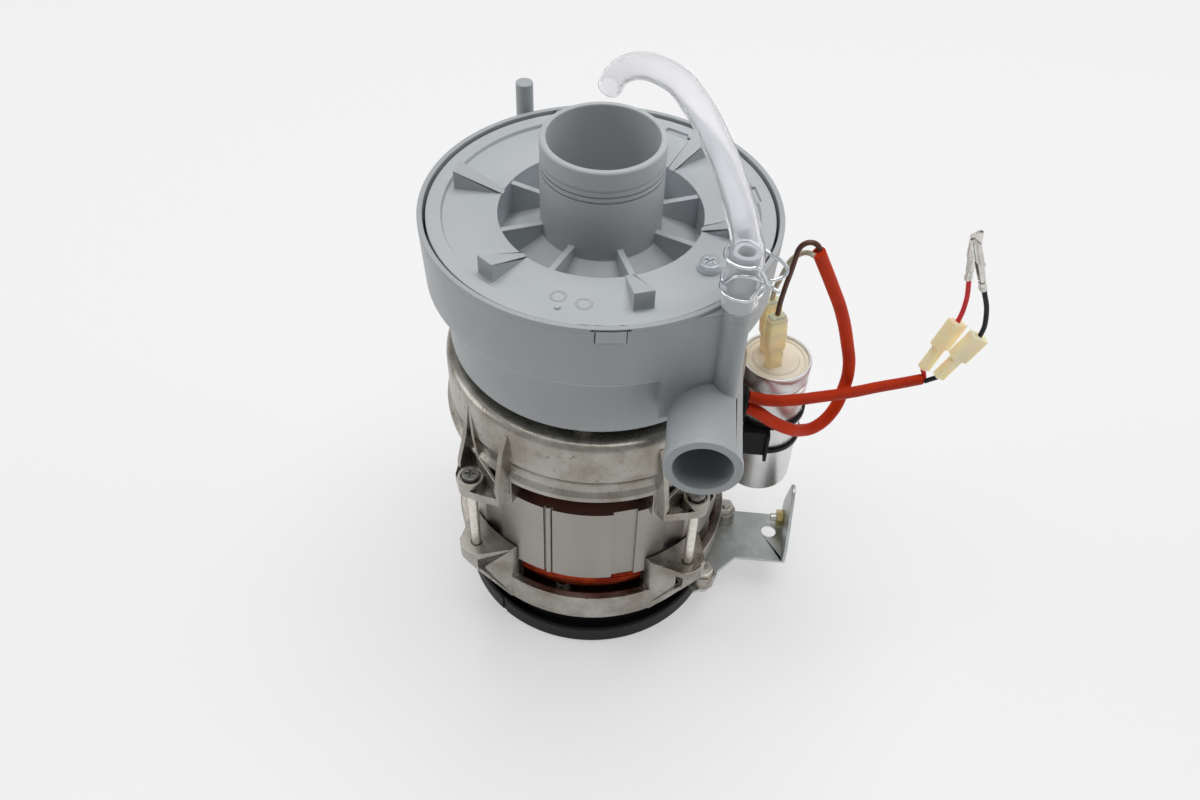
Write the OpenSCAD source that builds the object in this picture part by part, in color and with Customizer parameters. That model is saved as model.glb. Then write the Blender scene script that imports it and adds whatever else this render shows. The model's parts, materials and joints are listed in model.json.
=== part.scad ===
// Circulation pump of a dishwasher: a moulded volute and cover on a vertical motor,
// with its running capacitor, leads, vent hose and mounting bracket.
// Millimetres, +Z up along the shaft, z = 0 under the black base.

/* [Heights] */
// Height of the black fan cowl under the motor
cowl_h = 24; // [20:1:30]
// Height of the rear end shield's ring
rear_ring_h = 16; // [12:1:22]
// Opening between the rear ring and the stator stack
lower_window_h = 10.9; // [9:0.1:14]
// Height of the stator stack
stack_h = 43.8; // [36:0.2:60]
// Opening between the stator stack and the drive end shield's lip
upper_window_h = 14.6; // [13:0.1:18]
// Height of the drive end shield from its lip to its top edge
shield_h = 30.7; // [28:0.1:38]
// Dark gap between the drive end shield and the volute
volute_gap = 3.5; // [2.5:0.1:6]
// Height of the narrow lower bowl
bowl_h = 28.5; // [27:0.5:36]
// Height of the shoulder between the bowl and its wide collar
shoulder_h = 6; // [4:0.5:9]
// Height of the wide collar that the cover sits in
collar_h = 27.6; // [24:0.2:34]
// Height of the suction spigot above the cover
spigot_h = 31.8; // [24:0.2:45]

/* [Suction cover] */
// Outer diameter of the suction spigot
suction_d = 45; // [40:0.5:50]
// Wall of the suction spigot
suction_wall = 2.6; // [2:0.1:3.5]
// Radius of the dished centre round the spigot
dish_r = 38; // [34:0.5:42]
// Depth of the dish at its rim
dish_depth = 15; // [10:0.5:17]
// Thickness of the cover's plate
cover_wall = 2.6; // [2:0.1:3.5]
// Number of thin ribs in the dish
rib_count = 8; // [4:1:12]
// Thickness of a thin rib
rib_w = 2.4; // [1.6:0.1:3]
// Number of wedge lugs for turning the cover
lug_count = 6; // [3:1:8]
// Height of a wedge lug above the cover
lug_h = 8; // [4:0.5:12]
// Radius of the lugs' outer faces
lug_r = 56; // [50:0.5:57]
// Inner radius of the raised band at the cover's edge
band_r = 58; // [57:0.5:60]
// Height of the raised band
band_h = 1.5; // [1:0.1:2.5]

/* [Volute] */
// Outer radius of the collar's lip
lip_r = 67.1; // [66.5:0.1:72]
// Outer radius of the lower bowl
bowl_r = 59.2; // [57:0.1:62]
// Wall of the bowl
bowl_wall = 2.8; // [2.2:0.1:3.2]
// Gap between the cover and the collar's lip
cover_gap = 1; // [0.4:0.1:1.2]
// Outer diameter of the discharge spigot
discharge_d = 27; // [24:0.5:30]
// Bore of the discharge spigot
discharge_bore = 21.4; // [18:0.2:23]
// Distance of the discharge spigot's axis from the shaft
discharge_x = 43.9; // [42:0.1:46]
// Distance from the shaft to the mouth of the discharge spigot
discharge_reach = 81.8; // [74:0.2:110]
// Outer diameter of the vent pipe
vent_d = 9.2; // [8:0.1:10]
// Bore of the vent pipe
vent_bore = 5.6; // [4:0.1:6]
// Height of the vent pipe above the collar's lip
vent_h = 25.4; // [23:0.2:30]
// Diameter of the locating peg
peg_d = 7; // [5:0.2:8]
// Height of the locating peg above the collar's lip
peg_h = 10.4; // [6:0.2:16]

/* [End shields] */
// Outer radius of the drive end shield's body
shield_r = 61.5; // [61:0.1:64]
// Wall of the cast end shields
cast_wall = 3.2; // [2.6:0.1:3.6]
// Distance that the tie bolts stand out from the end shields
bolt_out = 6.5; // [5.5:0.1:8]
// Diameter of a tie bolt
bolt_d = 4; // [3:0.1:5]
// Depth that the upper lugs reach below the top of the stator stack
lug_drop = 4.7; // [3:0.1:8]
// Height that the lower lugs reach above the bottom of the stator stack
lug_rise = 9.1; // [6:0.1:12]

/* [Stator] */
// Step from the end shields in to the stator stack
stack_step = 3.5; // [3.3:0.1:5]
// Bore radius of the stator stack
stack_bore_r = 33; // [31:0.2:34]
// Number of stator slots
slot_count = 24; // [18:6:24]
// Outer diameter of a winding turn
wire_d = 1.5; // [1.2:0.1:1.6]
// Turns that show on each winding head
turn_count = 6; // [4:1:6]

/* [Rotor] */
// Air gap between the rotor and the stator
air_gap = 0.6; // [0.4:0.1:1]
// Diameter of the shaft in its bearings
shaft_d = 10; // [9:0.5:11]
// Outer diameter of a ball bearing
bearing_d = 30; // [28:0.5:32]
// Width of a ball bearing
bearing_w = 9; // [7:0.5:9]
// Outer radius of the impeller
impeller_r = 45; // [38:0.5:46]
// Number of impeller vanes
vane_count = 7; // [5:1:9]
// Radius of the cooling fan
fan_r = 42; // [32:0.5:42.5]
// Number of fan blades
blade_count = 9; // [5:1:13]

/* [Base] */
// Radius of the fan cowl's foot
foot_r = 58.6; // [56:0.2:60]
// Height of the fan cowl's foot
foot_h = 10.3; // [8:0.1:14]
// Radius of the fan cowl's neck
neck_r = 54; // [53:0.2:55]
// Wall of the fan cowl
cowl_wall = 2.4; // [1.8:0.1:2.6]

/* [Capacitor] */
// Diameter of the capacitor can
can_d = 31; // [28:0.5:32]
// Height of the capacitor can
can_h = 73; // [66:0.5:74]
// Height of the capacitor's bottom above the floor
can_z = 46; // [40:0.5:52]
// Gap between the capacitor can and the drive end shield's lip
can_gap = 0.4; // [0.3:0.1:6]
// Width of the black strap round the can
strap_w = 9; // [6:0.5:11]

/* [Bracket] */
// Thickness of the bracket's sheet
sheet_t = 1.5; // [1:0.1:2.5]
// Distance from the shaft to the bracket's upright flange
flange_x = 92; // [90:0.2:98]
// Height of the upright flange's tip above the floor
flange_top = 58; // [50:0.5:70]
// Diameter of the mounting hole in the plate
mount_hole_d = 7; // [5:0.5:8]

/* [Hidden] */
$fn = 96;

// Clearances
seat_gap = 0.05;
run_gap = 0.4;
bolt_gap = 0.25;

// Levels from the floor upwards
rear_z = cowl_h;
rear_top = rear_z + rear_ring_h;
stack_z = rear_top + lower_window_h;
stack_top = stack_z + stack_h;
shield_z = stack_top + upper_window_h;
shield_top = shield_z + shield_h;
volute_z = shield_top + volute_gap;
shoulder_z = volute_z + bowl_h;
collar_z = shoulder_z + shoulder_h;
lip_top = collar_z + collar_h;
cover_top = lip_top - 2.6;
spigot_top = cover_top + spigot_h;

// Angles of the repeated features, anticlockwise from +X
bolt_angles = [47.9, 132.1, 227.9, 312.1];
cover_lug_start = 50;
cover_rib_start = 22.5;

// Volute
collar_in_r = lip_r - 2;
bowl_in_r = bowl_r - bowl_wall;
floor_t = 3.5;
floor_top = volute_z + floor_t;
ledge_z = collar_z + 3;
outlet_z = volute_z + 14.5;
vent_x = discharge_x + 6.3;
vent_y = -52.3;
vent_top = lip_top + vent_h;
peg_x = -36.9;
peg_y = 62.4;
peg_top = lip_top + peg_h;
hub_bore_r = 13;
hub_r = hub_bore_r + 4;
hub_z = volute_z - 4.5;
post_r = bowl_r - 10.7;
post_angles = [0, 90, 180, 270];
volute_screw_d = 4;

// Cover
cover_r = collar_in_r - cover_gap;
suction_r = suction_d / 2;
suction_in_r = suction_r - suction_wall;
dish_top = cover_top - 5.5;
dish_low = cover_top - dish_depth;
eye_z = ledge_z - 1;
skirt_in_r = cover_r - cover_wall;
seal_z = ledge_z + 7;
seal_t = 1.15;
lock_x = 40.3;
lock_y = -28.6;
lock_boss_h = 1.2;
lock_screw_d = 4;

// Drive end shield
lip_out = 1.3;
bolt_circle_r = shield_r + bolt_out;
stack_r = shield_r - stack_step;
plate_top = shield_top - 8;
plate_t = 4;
upper_bearing_top = plate_top - 6;
upper_bearing_z = upper_bearing_top - bearing_w;
bearing_r = bearing_d / 2;
bearing_hub_r = bearing_r + 4;
shield_in_r = shield_r - cast_wall;
upper_lug_z = stack_top - lug_drop;
upper_boss_top = upper_lug_z + 12;
lug_seat_r = stack_r + 0.4;

// Rear end shield
lower_lug_top = stack_z + lug_rise;
lower_bearing_z = rear_z + 2;
lower_bearing_top = lower_bearing_z + bearing_w;

// Tie bolts
bolt_r = bolt_d / 2;
bolt_head_h = 3.2;
nut_h = 3.2;
nut_across = 7;
nut_z = lower_lug_top - 3.6 - nut_h;

// Stator
slot_in_r = stack_bore_r + 3;
slot_out_r = stack_r - 11;
slot_w = 4.4;
head_in_r = 36;
head_core_r = stack_r - 8.6;
wire_pitch = wire_d + 0.5;
head_h = turn_count * wire_pitch + wire_d;
flat_angle = 288.3;
bead_angles = [256.3, 76.3];

// Rotor
shaft_r = shaft_d / 2;
rotor_r = stack_bore_r - air_gap;
rotor_shaft_r = shaft_r + 1;
stub_r = shaft_r - 1;
seat_top = floor_top - 1;
seat_z = seat_top - 5;
ring_z = seat_top + run_gap;
impeller_z = ring_z + 5.6;
impeller_back_t = 2.4;
vane_arc_r = impeller_r * 2 / 3;
vane_offset = impeller_r * 0.48;
vane_t = 2.2;
impeller_hub_top = impeller_z + 14;
impeller_nut_h = 4.5;
shaft_top = impeller_hub_top + impeller_nut_h + 3;
eye_in_r = suction_r + run_gap;
eye_top = eye_z + 4;
fan_z = 8;
fan_top = cowl_h - 3;
shaft_bottom = fan_z + 1;

// Base
cowl_screw_r = 47;
cowl_screw_angles = [20, 140, 260];
cowl_screw_d = 3;

// Capacitor
can_r = can_d / 2;
can_angle = 13.6;
can_reach = shield_r + lip_out + can_gap + can_r;
can_x = can_reach * cos(can_angle);
can_y = can_reach * sin(can_angle);
can_top = can_z + can_h;
cap_top = can_top - 1;
strap_t = 1.7;
strap_z = 73;
lid_middle = [can_x, can_y, cap_top];
boot_tops = [lid_middle + [-3.5, -3.5, 28], lid_middle + [-5.5, 6, 27]];
boot_feet = [lid_middle + [-1.5, -4.5, 0], lid_middle + [-3.5, 5, 0]];
blade_h = 8;

// Bracket
plate_z = 20;
plate_under = plate_z + sheet_t;
fix_points = [[shield_r - 6.5, -33.8], [shield_r + 2.7, 4]];
fix_boss_h = 4.5;
fix_d = 4;
stud_y = 2;
stud_z = 28;
mount_x = 86;
mount_y = -1.4;

// Leads
lead_y = -8;
lead_a_z = shield_z + 4.6;
lead_b_z = lead_a_z + 6;
grommet_out = shield_r + 2.5;
grommet_flange_t = 1.1;
grommet_r = 3.7;
hose_grip = 22.4;
sleeve_a_d = 5.5;
sleeve_b_d = 5;
lead_d = 2.2;

// Routes of the leads and of the vent hose, points chosen by hand
hose_route = [
    [vent_x, vent_y, vent_top - hose_grip],
    [vent_x, vent_y, vent_top - hose_grip / 2],
    [vent_x, vent_y, vent_top + 0.3],
    [49.5, -51, 234.5],
    [48.5, -48.5, 237.5],
    [47, -43.5, 239.5],
    [45.2, -37, 241],
    [43.5, -30, 242],
    [41.5, -22.5, 243],
    [38.5, -13.5, 244],
    [35, -3, 245],
    [30.5, 8, 245.5],
    [25, 19.5, 245.5],
    [18, 31, 243],
    [11.5, 40, 239.5],
    [5.5, 47, 234.5],
    [1, 52, 228.5],
    [-2, 56, 221]
];
lead_a_out = [grommet_out, lead_y, lead_a_z];
lead_b_out = [grommet_out, lead_y, lead_b_z];
sleeve_a_route = [
    lead_a_out,
    lead_a_out + [4.5, 0, -2.4],
    lead_a_out + [12, 2, -9.9],
    lead_a_out + [20, 5, -16.9],
    lead_a_out + [26.5, 10, -22.9],
    lead_a_out + [34.5, 16, -25.4],
    lead_a_out + [41, 22, -21.4],
    lead_a_out + [44, 26, -11.9],
    lead_a_out + [44.5, 28, -0.4],
    lid_middle + [28.5, 2.5, 10.5],
    lid_middle + [23, 1.5, 27.5],
    lid_middle + [16.5, -0.5, 42.5],
    lid_middle + [7.5, -4.5, 62.5]
];
sleeve_b_route = [for (p = [
    [0, 0, 0], [8, 1, -2.4], [18.5, 5, -5.4], [32, 12, -8.9], [46, 20, -12.9],
    [60, 29, -16.9], [72, 36, -19.9], [80.5, 41, -21.9]
]) lead_b_out + p];
brown_route = [for (p = [
    [-3.5, -3.5, 28], [-3.3, -3.5, 34], [-2.5, -3.5, 43], [-1, -3.5, 52], [0.5, -3.5, 59],
    [2.5, -3.5, 64.5], [4.5, -3.3, 66.5], [6.8, -3.3, 65.5], [8.1, -3.5, 62.8]
]) lid_middle + p];
white_route = [for (p = [
    [-5.5, 6, 27], [-5.2, 5.5, 33.5], [-4, 4.5, 40], [-2.8, 3, 47], [-1.1, 1, 54],
    [1.9, -0.6, 58.2], [4.2, -3.2, 60.6], [6.3, -5.7, 61.2]
]) lid_middle + p];
housing_feet = [lead_b_out + [80.5, 42.5, -16.4], lead_b_out + [86.5, 38, -16.4]];
housing_tops = [lead_b_out + [90.5, 48, 8.1], lead_b_out + [99, 41, 7.1]];
lead_bends = [lead_b_out + [90.5, 49, 17.1], lead_b_out + [97.5, 41, 17.1]];
terminal_feet = [lead_b_out + [89, 49, 26.1], lead_b_out + [94.5, 41, 28.1]];
terminal_tops = [lead_b_out + [86, 49, 55.1], lead_b_out + [83.5, 41, 57.1]];

// Points of an arc in a profile, from angle a to angle b
function arc_points(c, r, a, b, n) =
    [for (i = [0:n]) c + r * [cos(a + (b - a) * i / n), sin(a + (b - a) * i / n)]];

function unit(v) = v / norm(v);

// Direction of a route at its point i
function heading(route, i) =
    unit(route[min(i + 1, len(route) - 1)] - route[max(i - 1, 0)]);

// The part of v that lies square to the direction t
function across(v, t) = unit(v - (v * t) * t);

// A side direction for every point of a route, carried along it without twisting
function carried(route, side) =
    [for (i = 0, u = across(side, heading(route, 0));
          i < len(route);
          i = i + 1, u = across(u, heading(route, min(i, len(route) - 1)))) u];

// One ring of a tube: n points at radius r round the route's point i
function tube_ring(route, i, r, n, u) =
    let (v = cross(heading(route, i), u))
    [for (k = [0:n - 1]) route[i] + r * (cos(360 * k / n) * u + sin(360 * k / n) * v)];

// Triangles between ring i and the next ring, turned outwards or inwards
function band_faces(i, n, base, outward) =
    [for (k = [0:n - 1])
        let (a = base + i * n + k, b = base + i * n + (k + 1) % n, c = a + n, d = b + n)
        each outward ? [[a, b, c], [b, d, c]] : [[a, c, b], [b, c, d]]];

// A solid tube along a route, with n sides; side is any direction that its start doesn't run along
module solid_tube(route, d, n, side) {
    m = len(route);
    sides = carried(route, side);
    points = [for (i = [0:m - 1]) each tube_ring(route, i, d / 2, n, sides[i])];
    walls = [for (i = [0:m - 2]) each band_faces(i, n, 0, false)];
    start_cap = [for (k = [1:n - 2]) [0, k, k + 1]];
    end_cap = [for (k = [1:n - 2]) [(m - 1) * n, (m - 1) * n + k + 1, (m - 1) * n + k]];
    polyhedron(points, concat(walls, start_cap, end_cap));
}

// A hollow tube along a route; outer and inner are its radii at each point
module hollow_tube(route, outer, inner, n, side) {
    m = len(route);
    sides = carried(route, side);
    skin = [for (i = [0:m - 1]) each tube_ring(route, i, outer[i], n, sides[i])];
    bore = [for (i = [0:m - 1]) each tube_ring(route, i, inner[i], n, sides[i])];
    size = m * n;
    walls = [for (i = [0:m - 2]) each band_faces(i, n, 0, false)];
    bore_walls = [for (i = [0:m - 2]) each band_faces(i, n, size, true)];
    last = (m - 1) * n;
    ends = [for (k = [0:n - 1])
        let (j = (k + 1) % n)
        each [
            [k, size + j, size + k], [k, j, size + j],
            [last + k, size + last + k, size + last + j], [last + k, size + last + j, last + j]
        ]];
    polyhedron(concat(skin, bore), concat(walls, bore_walls, ends));
}

// Copies round the shaft at the given angles
module at_angles(angles) {
    for (a = angles) {
        rotate([0, 0, a]) children();
    }
}

// Moves what stands on +Z at the origin to stand at p and point to q
module from_to(p, q) {
    v = q - p;
    translate(p)
        rotate([0, acos(v[2] / norm(v)), atan2(v[1], v[0])])
            children();
}

// A slab cut from a profile in the (radius, height) plane, centred on that plane
module radial_slab(profile, width) {
    rotate([90, 0, 0])
        translate([0, 0, -width / 2])
            linear_extrude(width)
                polygon(profile);
}

module ring(outer_r, inner_r, z, h) {
    translate([0, 0, z])
        difference() {
            cylinder(r = outer_r, h = h);
            translate([0, 0, -1]) cylinder(r = inner_r, h = h + 2);
        }
}

module hex_nut(across, hole_r, h) {
    difference() {
        cylinder(r = across / 2 / cos(30), h = h, $fn = 6);
        translate([0, 0, -1]) cylinder(r = hole_r, h = h + 2, $fn = 48);
    }
}

// Pan-head screw with a cross recess, standing on z = 0 with its shank below
module pan_screw(d, length, head_r, head_h) {
    difference() {
        cylinder(r = head_r, h = head_h);
        for (a = [45, 135]) {
            rotate([0, 0, a])
                translate([-head_r * 0.6, -0.5, head_h - 1.2])
                    cube([head_r * 1.2, 1, 2]);
        }
    }
    translate([0, 0, -length]) cylinder(r = d / 2, h = length);
}

// Volute: bowl and collar outside
module bowl_outside() {
    rotate_extrude()
        polygon(concat(
            [[0, volute_z]],
            arc_points([bowl_r - 5.4, volute_z + 5], 5, -90, 0, 5),
            [[bowl_r, shoulder_z - 1], [bowl_r + 1, shoulder_z]],
            arc_points([lip_r - 3.7, collar_z + 1], 2.6, -55, 0, 4),
            [[lip_r, lip_top - 2], [lip_r, lip_top], [0, lip_top]]
        ));
}

module bowl_inside() {
    rotate_extrude()
        polygon(concat(
            [[0, floor_top]],
            arc_points([bowl_in_r - 4, floor_top + 4], 4, -90, 0, 4),
            [
                [bowl_in_r, shoulder_z + 1], [skirt_in_r - 0.6, ledge_z],
                [collar_in_r, ledge_z], [collar_in_r, lip_top + 1], [0, lip_top + 1]
            ]
        ));
}

// Flat wall that carries the collar over to the vent pipe
module outlet_web() {
    translate([0, 0, outlet_z])
        linear_extrude(lip_top - 1.6 - outlet_z)
            polygon([
                [27, -lip_r + 6.8], [31.5, -lip_r + 9.3], [vent_x - 5, vent_y - 1],
                [vent_x, vent_y + 2], [vent_x - 4, vent_y + 16], [26, -40]
            ]);
}

module volute_body() {
    color([0.72, 0.75, 0.76])
        difference() {
            union() {
                bowl_outside();
                outlet_web();
                // Discharge spigot with its bead
                translate([discharge_x, -18, outlet_z])
                    rotate([90, 0, 0])
                        cylinder(d = discharge_d, h = discharge_reach - 18);
                translate([discharge_x, -discharge_reach + 3, outlet_z])
                    rotate([90, 0, 0])
                        cylinder(d = discharge_d + 1, h = 3);
                // Vent pipe
                translate([vent_x, vent_y, outlet_z])
                    cylinder(d = vent_d, h = vent_top - outlet_z);
                // Locating peg and its foot
                translate([peg_x, peg_y, collar_z + 2])
                    cylinder(d = peg_d, h = peg_top - collar_z - 2);
                rotate([0, 0, atan2(peg_y, peg_x)])
                    translate([lip_r - 3, -peg_d / 2 + 0.6, collar_z + 2])
                        cube([norm([peg_x, peg_y]) - lip_r + 3, peg_d - 1.2, collar_h - 6]);
                // Hub of the shaft seal
                translate([0, 0, hub_z]) cylinder(r = hub_r, h = floor_top - hub_z);
            }
            bowl_inside();
            translate([0, 0, hub_z - 1]) cylinder(r = hub_bore_r - 3, h = 20);
            translate([0, 0, seat_z]) cylinder(r = hub_bore_r, h = 20);
            // Waterway of the discharge spigot
            translate([discharge_x, -20, outlet_z])
                rotate([90, 0, 0])
                    cylinder(d = discharge_bore, h = discharge_reach);
            translate([vent_x, vent_y, outlet_z])
                cylinder(d = vent_bore, h = vent_top);
            at_angles(post_angles)
                translate([post_r, 0, volute_z - 1])
                    cylinder(d = volute_screw_d + 2 * seat_gap, h = 10);
            // Notches of the lip for the cover's two tabs
            cover_tab(278, 5.1, 0.3);
            cover_tab(108, 3.9, 0.3);
        }
}

// Tab on the cover's edge that drops into a notch of the lip
module cover_tab(angle, half_w, gap) {
    rotate([0, 0, angle])
        translate([cover_r - 2, -half_w - gap, cover_top - 3.5 - gap])
            cube([lip_r - cover_r + 2.2, 2 * (half_w + gap), 3.5 + band_h + 3 * gap]);
}

module cover_lug() {
    intersection() {
        radial_slab([
            [dish_r - 0.5, cover_top - 1], [dish_r - 0.5, cover_top],
            [lug_r, cover_top + lug_h], [lug_r, cover_top - 1]
        ], 10);
        translate([0, 0, cover_top - 1])
            linear_extrude(lug_h + 2)
                polygon([[dish_r - 1, -1.4], [lug_r + 1, -3.9], [lug_r + 1, 3.9], [dish_r - 1, 1.4]]);
    }
}

module suction_cover() {
    color([0.70, 0.73, 0.74])
        difference() {
            union() {
                rotate_extrude()
                    polygon([
                        [suction_in_r, eye_z], [suction_r, eye_z],
                        [suction_r, dish_top - 3.6], [dish_r + cover_wall, dish_low - 3.2],
                        [dish_r + cover_wall, cover_top - cover_wall],
                        [skirt_in_r, cover_top - cover_wall], [skirt_in_r, ledge_z],
                        [cover_r, ledge_z], [cover_r, cover_top + band_h],
                        [band_r + 0.6, cover_top + band_h], [band_r, cover_top],
                        [dish_r, cover_top], [dish_r, dish_low], [suction_r, dish_top],
                        [suction_r, spigot_top - 12.8], [suction_r - 0.3, spigot_top - 12.4],
                        [suction_r, spigot_top - 12], [suction_r, spigot_top - 10.6],
                        [suction_r - 0.3, spigot_top - 10.2], [suction_r, spigot_top - 9.8],
                        [suction_r, spigot_top - 0.6], [suction_r - 0.6, spigot_top],
                        [suction_in_r + 0.4, spigot_top], [suction_in_r, spigot_top - 0.8]
                    ]);
                at_angles([for (i = [0:rib_count - 1]) cover_rib_start + 360 * i / rib_count])
                    radial_slab([
                        [suction_r - 0.5, dish_top - 1], [dish_r + 0.5, dish_low - 1],
                        [dish_r + 0.5, cover_top - 1], [suction_r - 0.5, cover_top - 1]
                    ], rib_w);
                at_angles([for (i = [0:lug_count - 1]) cover_lug_start + 360 * i / lug_count])
                    cover_lug();
                cover_tab(278, 5.1, 0);
                cover_tab(108, 3.9, 0);
                // Boss of the lock screw, above and below the plate
                translate([lock_x, lock_y, cover_top - 12])
                    cylinder(r = 4.2, h = 12 + lock_boss_h);
                // Marks left by the ejector pins
                for (p = [[50.4, 258.5], [52.2, 268.8]]) {
                    rotate([0, 0, p[1]])
                        translate([p[0], 0, 0])
                            ring(2.9, 2.2, cover_top - 0.2, 0.6);
                }
                rotate([0, 0, 260])
                    translate([lug_r, 0, cover_top - 1])
                        cylinder(r = 1.1, h = 1.9);
            }
            translate([lock_x, lock_y, cover_top - 11])
                cylinder(d = lock_screw_d + 2 * seat_gap, h = 20);
            // Groove of the cover's seal
            ring(cover_r + 1, cover_r - 1.5, seal_z - seal_t, 2 * seal_t);
            // Shallow slots in the raised band
            for (a = [15, 64]) {
                rotate([0, 0, a])
                    translate([band_r - 1, -4.6, cover_top + 0.2])
                        cube([2.6, 9.2, band_h + 1]);
            }
        }
}

module cover_seal() {
    color([0.10, 0.10, 0.10])
        translate([0, 0, seal_z])
            rotate_extrude()
                translate([collar_in_r - seal_t - seat_gap, 0])
                    circle(r = seal_t - seat_gap, $fn = 24);
}

module cover_lock_screw() {
    color([0.80, 0.80, 0.78])
        translate([lock_x, lock_y, cover_top + lock_boss_h])
            pan_screw(lock_screw_d, 11, 3.65, 2.4);
}

module volute_screws() {
    color([0.75, 0.75, 0.74])
        at_angles(post_angles)
            translate([post_r, 0, floor_top])
                pan_screw(volute_screw_d, 14, 3.8, 2.6);
}

// Hose: wide where it is pushed over the pipe, narrower beyond it
hose_sides = 12;
hose_fit = cos(180 / hose_sides);
pipe_fit_r = (vent_d / 2 + seat_gap) / hose_fit;
hose_outer = [for (i = [0:len(hose_route) - 1]) i < 3 ? pipe_fit_r + 1.4 : 5.1];
hose_inner = [for (i = [0:len(hose_route) - 1]) i < 3 ? pipe_fit_r : 3.8];

module vent_hose() {
    color([0.90, 0.92, 0.95, 0.5])
        hollow_tube(hose_route, hose_outer, hose_inner, hose_sides, [0.9, 0.43, 0]);
}

// Clip bent from one spring wire: rings round the hose, wires that cross, and a pair of ears
clamp_wire_r = 0.65;
clamp_r = pipe_fit_r + 1.4 + clamp_wire_r;
clamp_top = vent_top - 1.5;
clamp_low = clamp_top - 13.5;
clamp_mid = clamp_low + 3.6;
clamp_ear = 13.5;

// A point of the clip at an angle and a height, out from the hose by the given distance
function on_clamp(angle, z, out) =
    [vent_x + (clamp_r + out) * cos(angle), vent_y + (clamp_r + out) * sin(angle), z];

function clamp_arc(a, b, z) = [for (i = [0:18]) on_clamp(a + (b - a) * i / 18, z, 0)];

clamp_route = concat(
    [
        [vent_x + clamp_ear - 2, vent_y - 6, clamp_mid + 0.5],
        on_clamp(-32, clamp_top - 7.5, 2.2), on_clamp(-42, clamp_top - 4, 1.4),
        on_clamp(-52, clamp_top - 1.2, 0.5)
    ],
    clamp_arc(-65, -340, clamp_top),
    [
        [vent_x + clamp_ear - 5, vent_y + 1.5, clamp_top - 1],
        [vent_x + clamp_ear - 1, vent_y + 1, clamp_top - 3.5],
        [vent_x + clamp_ear, vent_y, clamp_top - 6],
        [vent_x + clamp_ear - 2, vent_y - 1, clamp_mid + 2.2],
        on_clamp(-25, clamp_mid + 2.4, 0.3), on_clamp(-55, clamp_mid + 5, 0),
        on_clamp(-80, clamp_mid + 6.6, 0), on_clamp(-110, clamp_mid + 6.2, 0),
        on_clamp(-135, clamp_mid + 3, 0)
    ],
    clamp_arc(-155, -405, clamp_mid),
    clamp_arc(-430, -760, clamp_low)
);

module hose_clamp() {
    color([0.80, 0.81, 0.82])
        solid_tube(clamp_route, 2 * clamp_wire_r, 8, [0, 0, 1]);
}

// Outline of a bolt lug seen from above, reaching from the stack to past the bolt
function lug_outline(inner_r, half_w) = [
    [inner_r, -half_w], [inner_r + 4, -half_w + 0.5],
    [bolt_circle_r + 4.6, -6], [bolt_circle_r + 6.4, -2.4],
    [bolt_circle_r + 6.4, 2.4], [bolt_circle_r + 4.6, 6],
    [inner_r + 4, half_w - 0.5], [inner_r, half_w]
];

module upper_lug() {
    // Seat plate with the boss of the bolt
    translate([0, 0, upper_lug_z])
        linear_extrude(4.4)
            polygon(lug_outline(stack_r - 1, 14));
    translate([bolt_circle_r, 0, upper_lug_z])
        cylinder(r = 5.4, h = 12);
    // Side walls that rise to the top edge of the shield
    for (side = [-1, 1]) {
        translate([0, side * 11, 0])
            radial_slab([
                [stack_r - 2, upper_lug_z], [bolt_circle_r - 1.4, upper_lug_z],
                [bolt_circle_r - 1.4, upper_lug_z + 8], [shield_r - 0.2, shield_top - 3],
                [shield_r - 3, shield_top - 3], [shield_r - 3, shield_z + 2],
                [stack_r - 2, shield_z + 2]
            ], 2.8);
    }
    // Low rib between the side walls, behind the boss
    radial_slab([
        [shield_r - 1, upper_lug_z + 3], [bolt_circle_r - 3, upper_lug_z + 3],
        [bolt_circle_r - 3, upper_lug_z + 13], [shield_r - 0.5, shield_z + 14],
        [shield_r - 1, shield_z + 14]
    ], 2.6);
}

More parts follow.
